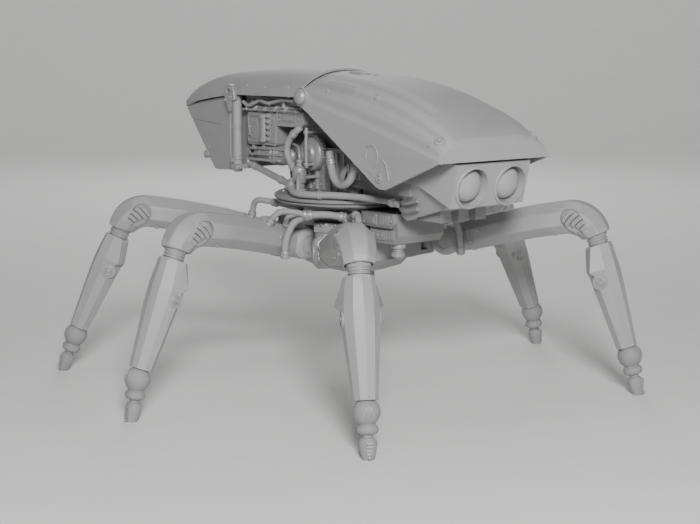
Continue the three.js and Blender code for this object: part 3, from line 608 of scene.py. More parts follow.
def foot_trim():
    """Split band round the ankle ball, and the ribbed pad on the outside of the toe."""
    shape = Shape()
    half, ball = 1.9, 10.7
    share = math.sqrt(1 - (half / ball) ** 2)
    for across in (-half, half):
        arc = [Vector(((ball + 0.05) * math.sin(a), across, -(ball + 0.05) * math.cos(a)))
               for a in (math.radians(d) for d in range(-150, 151, 6))]
        shape.tube([Vector((p.x * share, p.y, p.z * share)) for p in arc], 0.32, 8)
    for i in range(4):
        w = 23.4 + i * 2.7
        out = 6.3 - i * 0.5
        shape.block((out - 1.4, -2.6 + i * 0.2, w - 1.0), (out + 1.5 - 0.15 * i, 2.6 - i * 0.2, w + 1.0))
    shape.turn([(1.3, -0.8), (1.3, 0.5), (0.8, 0.8)], (6.4, 0, 34.2), (1, 0, -0.1), 12)
    return shape


def basis(x, y, z, origin):
    made = Matrix((x, y, z)).transposed().to_4x4()
    made.translation = origin
    return made


def leg_places(name):
    """The frames of a leg's pieces, in metres, from its joints."""
    hip, knee, ankle = (Vector(JOINTS[name + part]["pos_m"]) for part in ("_lift", "_knee", "_toe"))
    toe = Vector(MOUNTS[name + "_toe_face"]["pos_m"])
    out = Vector((knee.x - hip.x, knee.y - hip.y, 0)).normalized()
    up = Vector(UP)
    side = up.cross(out)
    rise = math.atan2(knee.z - hip.z, (knee - hip).dot(out)) - math.atan2(KNEE.y, KNEE.x)
    hip_frame = basis(out, side, up, hip)

    def down(start, end):
        z = (end - start).normalized()
        x = z.cross(side) if z.cross(side).dot(out) > 0 else side.cross(z)
        return basis(x, z.cross(x), z, start)

    return {"coxa": hip_frame, "femur": hip_frame @ Matrix.Rotation(-rise, 4, "Y"),
            "tibia": down(knee, ankle), "foot": down(ankle, toe)}


def to_mm(matrix):
    """A frame in metres made fit for points in millimetres."""
    return Matrix.Scale(1 / MM, 4) @ matrix @ Matrix.Scale(MM, 4)


def cut_at_ground(shape):
    """Cuts a shape in the frame level with the ground and closes it."""
    mesh = build_mesh(shape, "foot")
    work = bmesh.new()
    work.from_mesh(mesh)
    cut = bmesh.ops.bisect_plane(work, geom=[*work.verts, *work.edges, *work.faces], plane_co=(0, 0, 0),
                                 plane_no=(0, 0, -1), clear_outer=True)
    rim = [e for e in cut["geom_cut"] if isinstance(e, bmesh.types.BMEdge)]
    if rim:
        bmesh.ops.edgeloop_fill(work, edges=rim)
    work.to_mesh(mesh)
    work.free()
    return mesh


def femur_trim():
    """Screws, hip cover lips and seams of the femur."""
    shape = Shape()
    for side in (1, -1):
        for s, z in ((25.5, -1.5), (31.5, 9.0)):
            shape.turn([(2.6, -1), (2.6, 0.5), (2.2, 0.9), (1.3, 0.9), (1.2, 0.3)],
                       (s, side * 14.3, z), (0, side, 0), 18)
        shape.turn([(1.4, -1), (1.4, 0.5), (1.0, 0.8)], (103.5, side * 13.5, 8.2), (0, side, -0.5), 14)
        shape.turn([(7.6, 15.2), (8.4, 15.2), (8.4, 16.3), (7.6, 16.6), (7.6, 15.2)], (0, 0, 0),
                   (0, side, 0), 36)
    # band that closes the beam's hip end
    rings = []
    for s, z, grow in ((21.0, 4.1, -0.6), (21.2, 4.2, 0.7), (23.8, 4.9, 0.8), (24.0, 5.0, -0.6)):
        rings.append(limb_ring((s, z), 13.5, 13.9 + grow, 13.8 + grow, 0.3))
    return shape.skin(rings)


def make_legs():
    parts = (  # piece, shape or mesh, frame, material, body, edge rounding and angles, node it stands for
        ("coxa_casting", coxa_shape(), "coxa", "frame", "hip", (0.35,), "coxa"),
        ("femur_shell", femur_mesh(), "femur", "limb", "thigh", (0.3, 40), "femur"),
        ("femur_trim", femur_trim(), "femur", "metal", "thigh", (0.15,), None),
        ("elbow_ribs", bellows_shape(), "femur", "rubber", "thigh", (0.12,), "elbow_bellows"),
        ("tibia_shell", tibia_mesh(), "tibia", "limb", "shank", (0.5, 16, 24), "tibia"),
        ("tibia_caps", cap_rings(), "tibia", "metal", "shank", (0.15,), None),
        ("foot_casting", foot_shape(), "foot", "rubber", "ankle", (0.25,), "foot"),
        ("foot_trim", foot_trim(), "foot", "metal", "ankle", (0.12,), None))
    for name in LEGS:
        places = leg_places(name)
        for word, shape, place, slot, body, edges, node_name in parts:
            if isinstance(shape, Shape):
                shape = shape.moved(to_mm(places[place]))
                shape = cut_at_ground(shape) if word == "foot_casting" else shape
            else:
                shape = placed(shape, places[place])
            piece(f"{name}_{word}", shape, slot, f"{name}_{body}", *edges,
                  node=node_name and f"{name}_{node_name}")


# ---------- smooth tables ----------
def curve(table, x):
    """Smooth value of a table of (key, value) at x."""
    last = len(table) - 1
    if x <= table[0][0]:
        return table[0][1]
    if x >= table[last][0]:
        return table[last][1]
    i = max(k for k in range(last) if table[k][0] <= x)
    (x0, y0), (x1, y1) = table[i], table[i + 1]

    def slope(k):
        a, b = table[max(k - 1, 0)], table[min(k + 1, last)]
        return (b[1] - a[1]) / (b[0] - a[0])

    h = x1 - x0
    t = (x - x0) / h
    return (y0 * (1 + 2 * t) * (1 - t) ** 2 + slope(i) * h * t * (1 - t) ** 2
            + y1 * t * t * (3 - 2 * t) + slope(i + 1) * h * t * t * (t - 1))


def straight(table, x):
    """Value at x on the straight lines through a table of (key, value)."""
    i = 0
    while i + 2 < len(table) and table[i + 1][0] < x:
        i += 1
    (x0, y0), (x1, y1) = table[i], table[i + 1]
    return y0 + (y1 - y0) * (x - x0) / (x1 - x0)


def spread(first, last, count):
    """The ends and the even steps between them."""
    return [first + (last - first) * i / count for i in range(count + 1)]


def clamp(value):
    return min(1.0, max(0.0, value))


# ---------- hood ----------
HOOD_REAR, HOOD_NOSE, HOOD_WALL, PIVOT_Z = -8, 187, 2.6, 264
HOOD_TOP = ((-8, 286.2), (10, 286), (30, 285), (50, 283.2), (70, 280.8), (90, 277.2), (110, 272.8),
            (130, 267), (150, 259.4), (165, 252), (177, 244), (184, 237.4), (187, 232.6))
HOOD_WIDE = ((-8, 56.4), (40, 56.8), (95, 57.6), (140, 60), (187, 63))
SKIRT = ((-8, 256.6), (0, 254.6), (8, 250.6), (16, 245.6), (98, 196), (105, 192.2), (111, 190.6),
         (118, 190.8), (186, 216.6), (187, 217))
REAR_SECTION = ((0, 0), (0.22, 0.04), (0.42, 0.14), (0.6, 0.31), (0.82, 0.62), (1, 1))
FORE_SECTION = ((0, 0), (0.3, 0.02), (0.56, 0.08), (0.76, 0.22), (0.91, 0.56), (1, 1))


def hood_crease(f):
    """Height of the edge between the hood's top and its skirts."""
    return 262 - 0.2312 * (f + 1)


def hood_section(f):
    """Corners of the hood's half section as shares of the half width and of the drop to the crease."""
    blend = clamp((f + 8) / 70)
    return [(u0 + (u1 - u0) * blend, d0 + (d1 - d0) * blend)
            for (u0, d0), (u1, d1) in zip(REAR_SECTION, FORE_SECTION)]


def hood_height(f, u):
    """Height of the hood's outside at a station and a share of its half width."""
    section = hood_section(f)
    drop = curve(section, u) if u < section[2][0] else straight(section, u)
    top = curve(HOOD_TOP, f)
    return top - drop * (top - hood_crease(f))


def hood_ring(f):
    wide, crease, bottom = curve(HOOD_WIDE, f), hood_crease(f), straight(SKIRT, f)
    knots = [u for u, _ in hood_section(f)]
    shares = [a + (b - a) * k / 4 for a, b in zip(knots, knots[1:]) for k in range(4)] + [1]
    half = [(u * wide, hood_height(f, u)) for u in shares]
    outer = half + [(wide + 0.4 * k / 3, crease + (bottom - crease) * k / 3) for k in (1, 2, 3)]
    lip = clamp((f - 166) / 21)
    inner = []
    for i, (x, z) in enumerate(outer):
        if i < len(half):
            under = z - HOOD_WALL
            flat = min(under, crease - 1.8)
            inner.append((max(0, x * (1 - HOOD_WALL / wide)), under + (flat - under) * lip))
        else:
            inner.append((x - HOOD_WALL, z if i == len(outer) - 1 else min(z, crease - 2.0)))
    ring = [(-x, z) for x, z in outer[:0:-1]] + outer + inner[::-1] + [(-x, z) for x, z in inner[1:]]
    return [spot(f, x, z) for x, z in ring]


def on_shell(wide, height, f, left, lift=0.0):
    """A point on a domed shell and its outward direction there. wide is the shell's table of half widths,
    height(station, share of the half width) its outside."""
    half = curve(wide, f)

    def top(f, left):
        return spot(f, left, height(f, abs(left) / half))

    here = top(f, left)
    out = (top(f + 1, left) - here).cross(top(f, left + 0.5) - here).normalized()
    out = out if out.z > 0 else -out
    return here + out * lift, out


def on_hood(f, left, lift=0.0):
    return on_shell(HOOD_WIDE, hood_height, f, left, lift)


def make_hood():
    stations = [f for part in ((HOOD_REAR, 12, 8), (15, 92, 26), (95, 122, 12), (125, 165, 14),
                               (167, HOOD_NOSE, 12)) for f in spread(*part)]
    pivot = spot(0, 0, PIVOT_Z)
    steps = [(kind, Shape().turn(profile, pivot, (side, 0, 0), seg)) for side in (1, -1)
             for kind, profile, seg in (("UNION", [(7.2, 53.6), (7.4, 56.8), (6.8, 57.4)], 32),
                                        ("DIFFERENCE", [(4.3, 39), (4.3, 70)], 28))]
    piece("hood_shell", solve(Shape().skin([hood_ring(f) for f in stations]), *steps), "shell",
          "hood_cover", 0.9, 9, 24, node="hood")
    trim = Shape()
    for side in (1, -1):
        at = mirrored(side)
        for f, left, r in ((92, 46, 2.5), (26, 47, 1.6)):
            place, out = on_hood(f, side * left)
            screw(trim, place, out, r, 2.2)
            trim.turn([(r * 1.5, -1), (r * 1.5, 0.35), (r * 1.2, 0.6)], place, out, 24)
        place, out = on_hood(177, side * 53)
        trim.turn([(4.6, -2), (4.6, 0.9), (3.9, 1.5), (2.7, 1.5), (2.5, 0.7), (1.7, 0.7), (1.6, 1.9),
                   (0, 2.2)], place, out, 28)
        screw(trim, *on_hood(171, side * 58), 1.6, 1.4)
        # round hatch, its latch and the screws near the tip of the skirt
        wall = Vector((side, 0, 0))

        def on_skirt(f, z, out=0.0):
            return at(f, curve(HOOD_WIDE, f) + out, z)

        arc = [on_skirt(99 + 8.2 * math.cos(math.radians(a)), 217 + 9.4 * math.sin(math.radians(a)), 0.25)
               for a in range(-75, 196, 9)]
        trim.tube(arc, 0.75, 10)
        for r, *route in ((0.7, (86, 208, 0.2), (92, 205.5, 0.3), (100, 203, 0.3), (106, 198.5, 0.2)),
                          (1.0, (114, 215, 0.2), (119, 211, 0.3), (121, 204, 0.3), (122.5, 198.5, 0.2)),
                          (0.6, (117.5, 213, 0.2), (123, 209, 0.3), (125, 203, 0.3))):
            trim.tube(smooth_path([on_skirt(*p) for p in route], 6), r, 10)
        for f, z, r in ((109, 199.5, 4.3), (94, 226, 1.1)):
            trim.turn([(r, -1.5), (r, 0.8), (r * 0.8, 1.3), (r * 0.62, 1.3), (r * 0.55, 0.5), (r * 0.36, 0.5),
                       (r * 0.3, 1.5), (0, 1.6)], on_skirt(f, z), wall, 24)
        # hinge boss cover
        trim.turn([(7.5, 55.6), (8.6, 55.9), (8.6, 57.6), (7.9, 58.2), (7.5, 58.0), (7.5, 55.6)],
                  pivot, (side, 0, 0), 32)
    # latch plate with its slot, behind the crown
    for f, left, long, r in ((24, -13, 15, 1.1), (24, -16.5, 11, 0.8), (37, -11, 5, 1.0)):
        trim.tube([on_hood(f + d, left, 0.2)[0] for d in spread(-long / 2, long / 2, 6)], r, 10)
    for f, left in ((14, -13), (34, -12), (34, -17), (47, -8), (47, -12)):
        screw(trim, *on_hood(f, left), 1.3, 0.9)
    piece("hood_fittings", trim, "shell", "hood_cover", 0.12)
    for word, side in SIDES:
        pin = Shape().turn([(3.6, 38.3), (4, 38.8), (4, 57.5), (7.0, 57.6), (7.4, 58.3), (6.9, 60),
                            (5.6, 61.6), (3.6, 62.6), (1.8, 62.9), (0, 63)], pivot, (side, 0, 0), 40)
        piece("hood_pin_cap_" + word, pin, "metal", "turret", 0.15, node="hood_pin_" + word)


# ---------- cowls ----------
COWL_REAR, COWL_FRONT, COWL_WALL = -206, -8.4, 1.6
COWL_TOP = ((-213, 270.5), (-205, 275.4), (-190, 279.6), (-165, 282.8), (-140, 284.8), (-110, 286.6),
            (-60, 288.6), (-8, 288.3))
COWL_WIDE = ((-212, 44.5), (-200, 48), (-170, 52), (-130, 56), (-90, 58), (-8, 58.5))
COWL_LOW = ((-212, 248), (-160, 252), (-105, 254.5), (-8, 254.5))
DOME = ((0, 0), (0.24, 0.03), (0.46, 0.14), (0.66, 0.32), (0.84, 0.58), (0.95, 0.83), (1, 1))
TAIL_END = ((-211.2, 0.8), (-210.6, 0.85), (-209.4, 0.9), (-207.4, 0.94), (-205, 0.965), (-201, 0.98),
            (-197, 0.99), (-186, 1.0))


def cowl_height(f, u, inset=0.0):
    top, low = curve(COWL_TOP, f) - inset, curve(COWL_LOW, f) + 6
    return top - curve(DOME, u) * (top - low)


def cowl_ring(f, inset=0.0, low=None):
    wide = curve(COWL_WIDE, f) - inset
    shares = [math.sin(math.pi / 2 * i / 16) for i in range(17)]
    half = [(u * wide, cowl_height(f, u, inset)) for u in shares]
    half.append((wide, curve(COWL_LOW, f) if low is None else low))
    ring = half + [(-x, z) for x, z in half[:0:-1]]
    return [spot(f, x, z) for x, z in ring]


def cowl_skin():
    rings = []
    for f, k in TAIL_END:
        low = curve(COWL_LOW, f) - GROUND
        ring = cowl_ring(f)
        rings.append([Vector((p.x * (0.93 + 0.07 * k), p.y,
                              p.z if p.z <= low + 0.01 else low + 4 + (p.z - low - 4) * k))
                      for p in ring])
    rings += [cowl_ring(f) for f in spread(-180, COWL_FRONT, 36)]
    return Shape().skin(rings)


def cowl_room():
    rings = []
    for f in spread(COWL_REAR, COWL_FRONT + 5, 24):
        tail = f < -190
        rings.append([Vector((p.x * (0.98 if tail else 1), p.y, p.z))
                      for p in cowl_ring(f, COWL_WALL + (3.5 if tail else 0), 230)])
    return Shape().skin(rings)


COWL_EDGE = ((-215, 248), (-212, 248), (-180, 255), (-146, 259.4), (-109, 263), (0, 263.5))
POST_F, POST_X = -109, 51.6


def cowl_side(f, z):
    """Half width of the cowl where its outside is at height z."""
    low, high = 0.0, 1.0
    for _ in range(20):
        u = (low + high) / 2
        low, high = (u, high) if cowl_height(f, u) > z else (low, u)
    return high * curve(COWL_WIDE, f)


def on_cowl(f, left):
    return on_shell(COWL_WIDE, cowl_height, f, left)


def make_cowls():
    def beyond(gap, f_end):
        """Everything past the joint between the cowls, which crosses the back above the posts."""
        line = [(x, f - gap) for x, f in ((90, -112), (46, -124), (0, -117), (-46, -124), (-90, -112))]
        return Shape().slab(line + [(-90, f_end), (90, f_end)], 200, 300, lambda left, f, z: spot(f, left, z))

    below = [*COWL_EDGE, (0, 230), (-215, 230)]
    below = Shape().slab(below, -70, 70, on_section)

    for name, other, node_name in (("mid_cowl_shell", beyond(-0.25, -260), "mid_cowl"),
                                   ("tail_cowl_shell", beyond(0.25, 60), "tail_cowl")):
        mesh = solve(cowl_skin(), ("DIFFERENCE", cowl_room()), ("DIFFERENCE", below), ("DIFFERENCE", other))
        piece(name, mesh, "shell", "turret", 0.4, 30, 38, node=node_name)
    trim = Shape()
    for side in (1, -1):
        at = mirrored(side)
        for f, left in ((-30, 50), (-64, 51), (-98, 48), (-134, 40), (-186, 34)):
            screw(trim, *on_cowl(f, side * left), 1.5, 0.9)
        # rolled lower edge
        for f0, f1 in ((-107, -12), (-208, -114)):
            edge = [(f, straight(COWL_EDGE, f) + 0.9) for f in spread(f0, f1, 24)]
            trim.tube([at(f, cowl_side(f, z) - 0.5, z) for f, z in edge], 0.9, 10)
    piece("cowl_fittings", trim, "shell", "turret", 0.1)


# ---------- tail ----------
def flank(f):
    """Half width of the tail over the side panels."""
    return 54 + (f + 104) * 9 / 108


def make_tail():
    outline = [(-110.5, 262), (-146, 258.6), (-180, 254.2), (-208, 247.4), (-151.5, 190.2), (-146, 189.6),
               (-110.5, 191.4)]
    for word, side in SIDES:
        at = mirrored(side)
        panel = Shape().skin([[at(f, flank(f), z) for f, z in outline],
                              [at(f, flank(f) - 2.4, z) for f, z in outline]])
        post = Shape().turn([(3.9, 190), (4.4, 190.8), (4.4, 261.4), (3.9, 262)],
                            at(POST_F, POST_X, 0), UP, 28)
        groove = Shape().tube([at(f, flank(f) + 0.2, z)
                               for f, z in ((-197, 236), (-170, 234.6), (-139, 233))], 1.0, 8)
        lip = Shape().tube([at(f, flank(f) + 0.2, z) for f, z in ((-119, 193), (-119, 258))], 0.6, 8)
        piece("tail_fairing_panel_" + word, solve(panel, ("UNION", post), ("DIFFERENCE", groove),
                                                  ("DIFFERENCE", lip)),
              "shell", "turret", 0.4, 30, 38, node="tail_fairing_" + word)
        trim = Shape()
        out = Vector((side, 0, 0))
        # lug on the sloping rear edge
        trim.turn([(3.6, -2.6), (3.9, -2), (3.9, 2), (3.6, 2.6)], at(-166, 48.6, 203), out, 24)
        trim.turn([(1.5, -3.3), (1.5, 3.3)], at(-166, 48.6, 203), out, 16)
        pipe(trim, side, [(-161, 48.6, 211), (-165.5, 48.6, 208), (-166, 48.6, 203)], 1.5, 10, 5)
        # hook bracket on the head of the post, with its eye
        hook = [(-104, 258), (-105, 266), (-109, 272), (-115, 273), (-120.5, 269), (-121.5, 262), (-118, 254),
                (-114, 247), (-112.2, 252), (-110, 257)]
        eye = Shape().turn([(2.6, -9), (2.6, 9)], at(-114.4, 55, 266), out, 20)
        plate = Shape().slab(hook, side * 53.6, side * 58.2, on_section)
        bracket = solve(plate, ("DIFFERENCE", eye))
        piece("post_hook_" + word, bracket, "metal", "turret", 0.5, 30)
        for f, z, r in ((-107.5, 268.5, 1.8), (-119, 258, 1.3), (-110, 261, 1.3)):
            screw(trim, at(f, 58.1, z), out, r, 1.0)
        # foot clamp of the post that takes the strut
        brick(trim, side, (-101, -113.5), (42, 56.4), (193, 197.5))
        trim.turn([(2.9, -3), (3.2, -2.4), (3.2, 2.4), (2.9, 3)], at(-106, 54.6, 193.5), out, 20)
        trim.turn([(1.9, -3), (1.9, 3.8), (1.3, 4.2)], at(-110, 54.8, 200.5), out, 16)
        for z in (203, 232):
            trim.turn([(4.3, -1.4), (5.1, -1.2), (5.1, 1.2), (4.3, 1.4), (4.3, -1.4)], at(POST_F, POST_X, z),
                      UP, 28)
        piece("tail_fittings_" + word, trim, "metal", "turret", 0.2)


# ---------- head ----------
FACE_TOP, FACE_LOW = Vector((186, 214.3)), Vector((177.6, 179.0))
EYE_X, EYE_Z, EYE_R, EYE_DEEP = 21.6, 195.5, 15.6, 9.0
FACE_DOWN = (FACE_LOW - FACE_TOP).normalized()
FACE_OUT = Vector((-FACE_DOWN.y, FACE_DOWN.x))


def eye_spot(left, out):
    f = FACE_TOP.x + (EYE_Z - FACE_TOP.y) * FACE_DOWN.x / FACE_DOWN.y
    return spot(f + FACE_OUT.x * out, left, EYE_Z + FACE_OUT.y * out)


EYE_FACING = Vector((0, -FACE_OUT.x, FACE_OUT.y))


def head_half(f):
    """Half width of the head."""
    return 46 - (f - 118.5) * 5 / 67


def make_head():
    outline = [(118.5, 230), (150, 223.5), tuple(FACE_TOP), tuple(FACE_LOW), (143, 195), (118.5, 197)]
    chin = [(174, 184), (172, 180), (112, 162.5), (106, 166), (112, 179.4), (118.5, 186), (118.5, 198),
            (143, 197)]
    shape = Shape().skin([[spot(f, side * head_half(f), z) for f, z in outline] for side in (1, -1)])
    jaw = Shape().skin([[spot(f, side * (38 - (186 - z) * 0.35), z) for f, z in chin] for side in (1, -1)])
    nose_room = [(30, 237.6), (95.9, 237.6), (150.5, 218.5), (150.5, 231.6), (112, 250.5), (30, 250.5)]
    rims, sockets = (
        [(kind, Shape().turn(profile, eye_spot(side * EYE_X, 0), EYE_FACING, 64)) for side in (1, -1)]
        for kind, profile in (("UNION", [(EYE_R + 2.5, -4), (EYE_R + 2.5, 1.2), (EYE_R + 1.9, 2.0)]),
                              ("DIFFERENCE", [(EYE_R, -EYE_DEEP), (EYE_R + 0.9, 8)])))
    steps = [("UNION", jaw), ("DIFFERENCE", Shape().slab(nose_room, -12.3, 12.3, on_section)),
             *rims, *sockets]
    piece("head_shell", solve(shape, *steps), "shell", "turret", 0.6, 30, 38, node="head_block")
    for word, side in SIDES:
        dome = [(0, 0), (13.7, 0), (14.1, 0.5), (14.1, 2.0)]
        dome += [(14.0 * math.cos(math.radians(a)), 2.2 + 8.9 * math.sin(math.radians(a)))
                 for a in range(8, 91, 7)]
        lens = Shape().turn(dome, eye_spot(side * EYE_X, -EYE_DEEP + 0.3), EYE_FACING, 64)
        piece("eye_dome_" + word, lens, "lens", "turret", 0, node="eye_lens_" + word)
    trim = Shape()
    for side in (1, -1):
        at = mirrored(side)
        trim.turn([(14.3, -8.8), (15.5, -8.8), (15.5, -4.6), (14.9, -4.1), (14.3, -4.8), (14.3, -8.8)],
                  eye_spot(side * EYE_X, 0), EYE_FACING, 56)
        for f, z in ((128, 222), (128, 202), (168, 214)):
            screw(trim, at(f, head_half(f), z), Vector((side, 0.07, 0)), 1.7, 0.9)
        # cheek plates under the head, with pipes that run back to the neck
        brick(trim, side, (116, 130), (38.4, 42.8), (185, 197))
        for z in (169, 175.5):
            pipe(trim, side, [(104, 30, z + 3), (116, 36, z + 2), (134, 37, z + 6)], 1.8, 12, 6)
    for left in (-20, 0, 20):
        brick(trim, 1, (120, 150), (left - 6, left + 6), (163.5, 174))
    piece("head_fittings", trim, "frame", "turret", 0.25)


# ---------- turned parts of the turret and hub ----------
TURNTABLE = [(65.4, 167.3), (66.6, 167.9), (69.2, 169.4), (69.2, 170.6), (68.2, 171.1), (68.2, 171.9),
             (70.9, 172.4), (71, 174.4), (70.2, 175.4), (68.6, 175.7), (68.6, 176.4), (66.4, 177)]
SLEW_RING = [(45.2, 153.3), (46, 154), (46, 156.6), (45, 157.4), (43, 158.4), (43, 159.6), (44, 160.2),
             (43, 160.8), (43, 162), (45, 163), (46, 163.8), (46, 166.2), (45.2, 167)]
PORT = [(3.6, 126), (4.4, 126.6), (5.4, 127.6), (5.4, 130.6), (4.6, 131.6), (4.6, 132.4), (5.2, 132.8),
        (4.6, 133.2), (4.6, 134.5), (6.2, 135), (6.6, 135.8), (6.6, 138.2), (6.2, 138.7)]
POD = [(3.6, 0), (4.5, 0.8), (5.5, 1.6), (6.2, 8), (6.5, 10.5), (7.1, 10.9), (7.1, 12.7), (6.7, 13.1),
       (8.1, 26), (8.4, 30), (9.1, 30.5), (9.1, 33), (8.5, 33.5), (8.6, 40), (9.2, 40.4), (9.2, 42),
       (8.7, 42.4), (8.8, 52), (8.2, 56), (7.2, 59), (5.4, 61.6), (4.4, 62.4), (2.4, 63.2), (0, 63.4)]
DRUM = [(15.6, 0), (15.6, 1.2), (15.0, 1.6), (15.0, 2.4), (15.6, 2.8), (15.6, 6.3), (15.1, 7.2), (14.2, 8.2),
        (12.6, 8.9), (10.2, 9.4), (9.4, 9.7), (8.9, 11), (8.2, 12), (5.2, 12), (4.8, 11.2)]
DAMPER = [(5.7, 0), (6.2, 0.6), (6.2, 2.4), (5.4, 3.2), (4.2, 3.9), (4.2, 5.2), (5.0, 5.6), (5.0, 6.6),
          (4.2, 7), (4.2, 8), (5.6, 8.8), (6.2, 10.4), (6.4, 12.6), (6.9, 12.9), (6.9, 14.1), (6.4, 14.4),
          (6.4, 15.4), (6.9, 15.7), (6.9, 16.9), (6.4, 17.2), (6.4, 20.2), (6.0, 22), (4.8, 23.2),
          (3.2, 24), (2.5, 24.8), (2.4, 27), (3.2, 27.4), (3.2, 29.2), (2.4, 30)]


def make_turned():
    hub_axis = spot(0, 0, 0)
    piece("turntable_plate", Shape().turn(TURNTABLE, hub_axis, UP, 96), "frame", "turret", 0.2,
          node="turntable")
    piece("slew_bearing", Shape().turn(SLEW_RING, hub_axis, UP, 72), "metal", "hub", 0.15, node="slew_ring")
    port = Shape().turn(PORT, spot(86, -17, 0), UP, 32)
    for j in range(12):
        a = j * math.tau / 12
        port.tube([spot(86 + 5.3 * math.sin(a), -17 + 5.3 * math.cos(a), z) for z in (127.7, 130.3)], 0.55, 8)
    piece("service_plug", port, "metal", "hub", 0.12, node="service_port")
    for word, side in SIDES:
        at = mirrored(side)
        for kind, profile, place, along, seg, edge in (
                ("motor_pod", POD, at(-97, 37, 207.6), (0, -1, 0.01), 44, 0.15),
                ("gear_drum", DRUM, at(-13, 30.3, 212), (side, 0, 0), 56, 0.15),
                ("damper", DAMPER, at(-14, 49, 177.3), UP, 36, 0.12)):
            piece(f"{kind}_body_{word}", Shape().turn(profile, place, along, seg), "metal", "turret", edge,
                  node=f"{kind}_{word}")
        strut = Shape()
        high, low = at(-102, 43.5, 198.4), at(-37, 42.5, 182)
        strut.tube([high, (high + low) / 2, low], 3.2, 24)
        strut.turn([(4.6, 177.3), (4.6, 182.6), (4.2, 184.6)], at(-37, 42.5, 0), UP, 28)
        strut.turn([(4.4, -2.6), (4.8, -2), (4.8, 2), (4.4, 2.6)], at(-104, 43.8, 199), (1, 0, 0), 28)
        for t in (0.15, 0.78):
            strut.turn([(3.7, -1.6), (3.9, -1.2), (3.9, 1.2), (3.7, 1.6)], high.lerp(low, t), low - high, 24)
        piece("strut_body_" + word, strut, "metal", "turret", 0.12, node="strut_" + word)


# ---------- open bay between the cowl and the turntable ----------
def bay_panels(side):
    """Plates, louvres and knobs on the outside of the two boxes."""
    at = mirrored(side)
    shape = Shape()
    out = Vector((side, 0, 0))

    def plate(f0, f1, z0, z1, depth):
        brick(shape, side, (f0, f1), (46.6, 47 + depth), (z0, z1))

    for f0, f1, z0, z1 in ((-97, -95.6, 219.5, 245), (-78.4, -77, 219.5, 245), (-95.6, -78.4, 219.5, 220.9),
                           (-95.6, -78.4, 243.6, 245), (-50.6, -49.4, 238.6, 249), (-12.4, -11.2, 240, 249),
                           (-49.4, -12.4, 247.9, 249)):
        plate(f0, f1, z0, z1, 1.2)
    plate(-94, -80, 222.6, 242, 0.4)
    brick(shape, side, (-106, -10), (42, 43.6), (246, 262))
    brick(shape, side, (-80, -12), (43.4, 44.2), (254, 261))
    for z in (235.5, 238):
        plate(-91, -82, z, z + 1.3, 1.2)
    pipe(shape, side, [(-91, 47, 225), (-91, 49.6, 226), (-91, 49.8, 229.5), (-91, 49.6, 233),
                       (-91, 47, 234)], 0.9, 10, 6)
    shape.turn([(3.4, 219.6), (4.9, 220.6), (4.9, 223), (4.2, 223.8), (4.2, 241.6), (4.9, 242.4),
                (4.9, 244.8), (3.6, 246.2)], at(-71, 47.2, 0), UP, 28)
    plate(-66, -60.4, 220.5, 246, 0.6)
    for z in (223, 228.4, 233.8, 239.2, 244.4):
        shape.turn([(2.4, -1), (2.4, 1.4), (2.0, 1.9), (1.4, 1.9), (1.3, 3.0), (0.8, 3.5)],
                   at(-63.2, 47.4, z), out, 18)
    plate(-58.6, -52.8, 219.6, 245.4, 0.9)
    for f, z in ((-55.7, 223), (-55.7, 242), (-46, 241.6), (-46, 245.6), (-17, 243)):
        screw(shape, at(f, 47.6, z), out, 1.2, 0.8)
    plate(-43, -22, 240, 246.6, 0.5)
    for f in spread(-40, -26, 7):
        plate(f - 0.6, f + 0.6, 241.2, 245.4, 1.3)
    # feet between the box and the pod rail
    for f in (-92, -75, -58):
        brick(shape, side, (f - 2, f + 2), (38, 45.5), (212.5, 218))
    return shape


def bay_rails(side):
    """Rails, clamps and pipes above the boxes and along the motor pod, and the tall bar."""
    at = mirrored(side)
    shape = Shape()
    pipe(shape, side, [(-104, 45, 251.2), (-60, 45.4, 251.8), (-14, 45, 252)], 1.9)
    pipe(shape, side, [(-104, 48.6, 249.4), (-60, 49, 249.8), (-14, 48.6, 250)], 1.0)
    for f in (-97, -84, -68, -52, -36, -20):
        collar(shape, at(f, 45.2, 251.5), (0, 1, 0), 2.9, 3.4)
        brick(shape, side, (f - 1, f + 1), (44.5, 49.6), (248.6, 251))
        screw(shape, at(f, 49, 250.6), UP, 1.1, 1.0)
    for f, z, r in ((-90, 256, 2.2), (-64, 256.8, 1.8), (-41, 256, 2.2)):
        shape.turn([(r, -3.5), (r, 2.2), (r * 0.8, 2.8), (r * 0.5, 2.8), (r * 0.45, 1.8)],
                   at(f, 46, z), UP, 20)
    pipe(shape, side, [(-100, 44.6, 202.6), (-70, 45.6, 203), (-48, 46.2, 203.6)], 1.5)
    pipe(shape, side, [(-100, 44, 207.4), (-70, 46.2, 208.4), (-44, 46.8, 209)], 1.2)
    pipe(shape, side, [(-100, 42, 212.8), (-70, 44.2, 214), (-42, 45, 214.4)], 1.8)
    for i in range(5):
        collar(shape, at(-58 + 3.6 * i, 37, 207.9), (0, 1, 0), 9.9 - 0.5 * i, 2.4)
    pipe(shape, side, [(-6, 47, 236), (-6, 47.4, 218), (-6, 47, 200)], 1.6)
    for z in (232, 203):
        collar(shape, at(-6, 47.2, z), UP, 2.5, 3)
        brick(shape, side, (-7, -5), (30, 46), (z - 1, z + 1))
    for f in (-47, -30):
        pipe(shape, side, [(f, 26, 206), (f, 34, 200), (f + 3, 36, 188), (f + 4, 37, 177.4)], 1.1)
    # toothed rim behind the drum
    for i in range(22):
        a = math.radians(-100 + i * 9.5)
        spin = Matrix.Rotation(side * a, 3, "X")
        place = at(-13 + 16.2 * math.sin(a), 33, 212 + 16.2 * math.cos(a))
        shape.block(place - Vector((2.2, 0.8, 1.0)), place + Vector((2.2, 0.8, 1.0)), spin)
    return shape


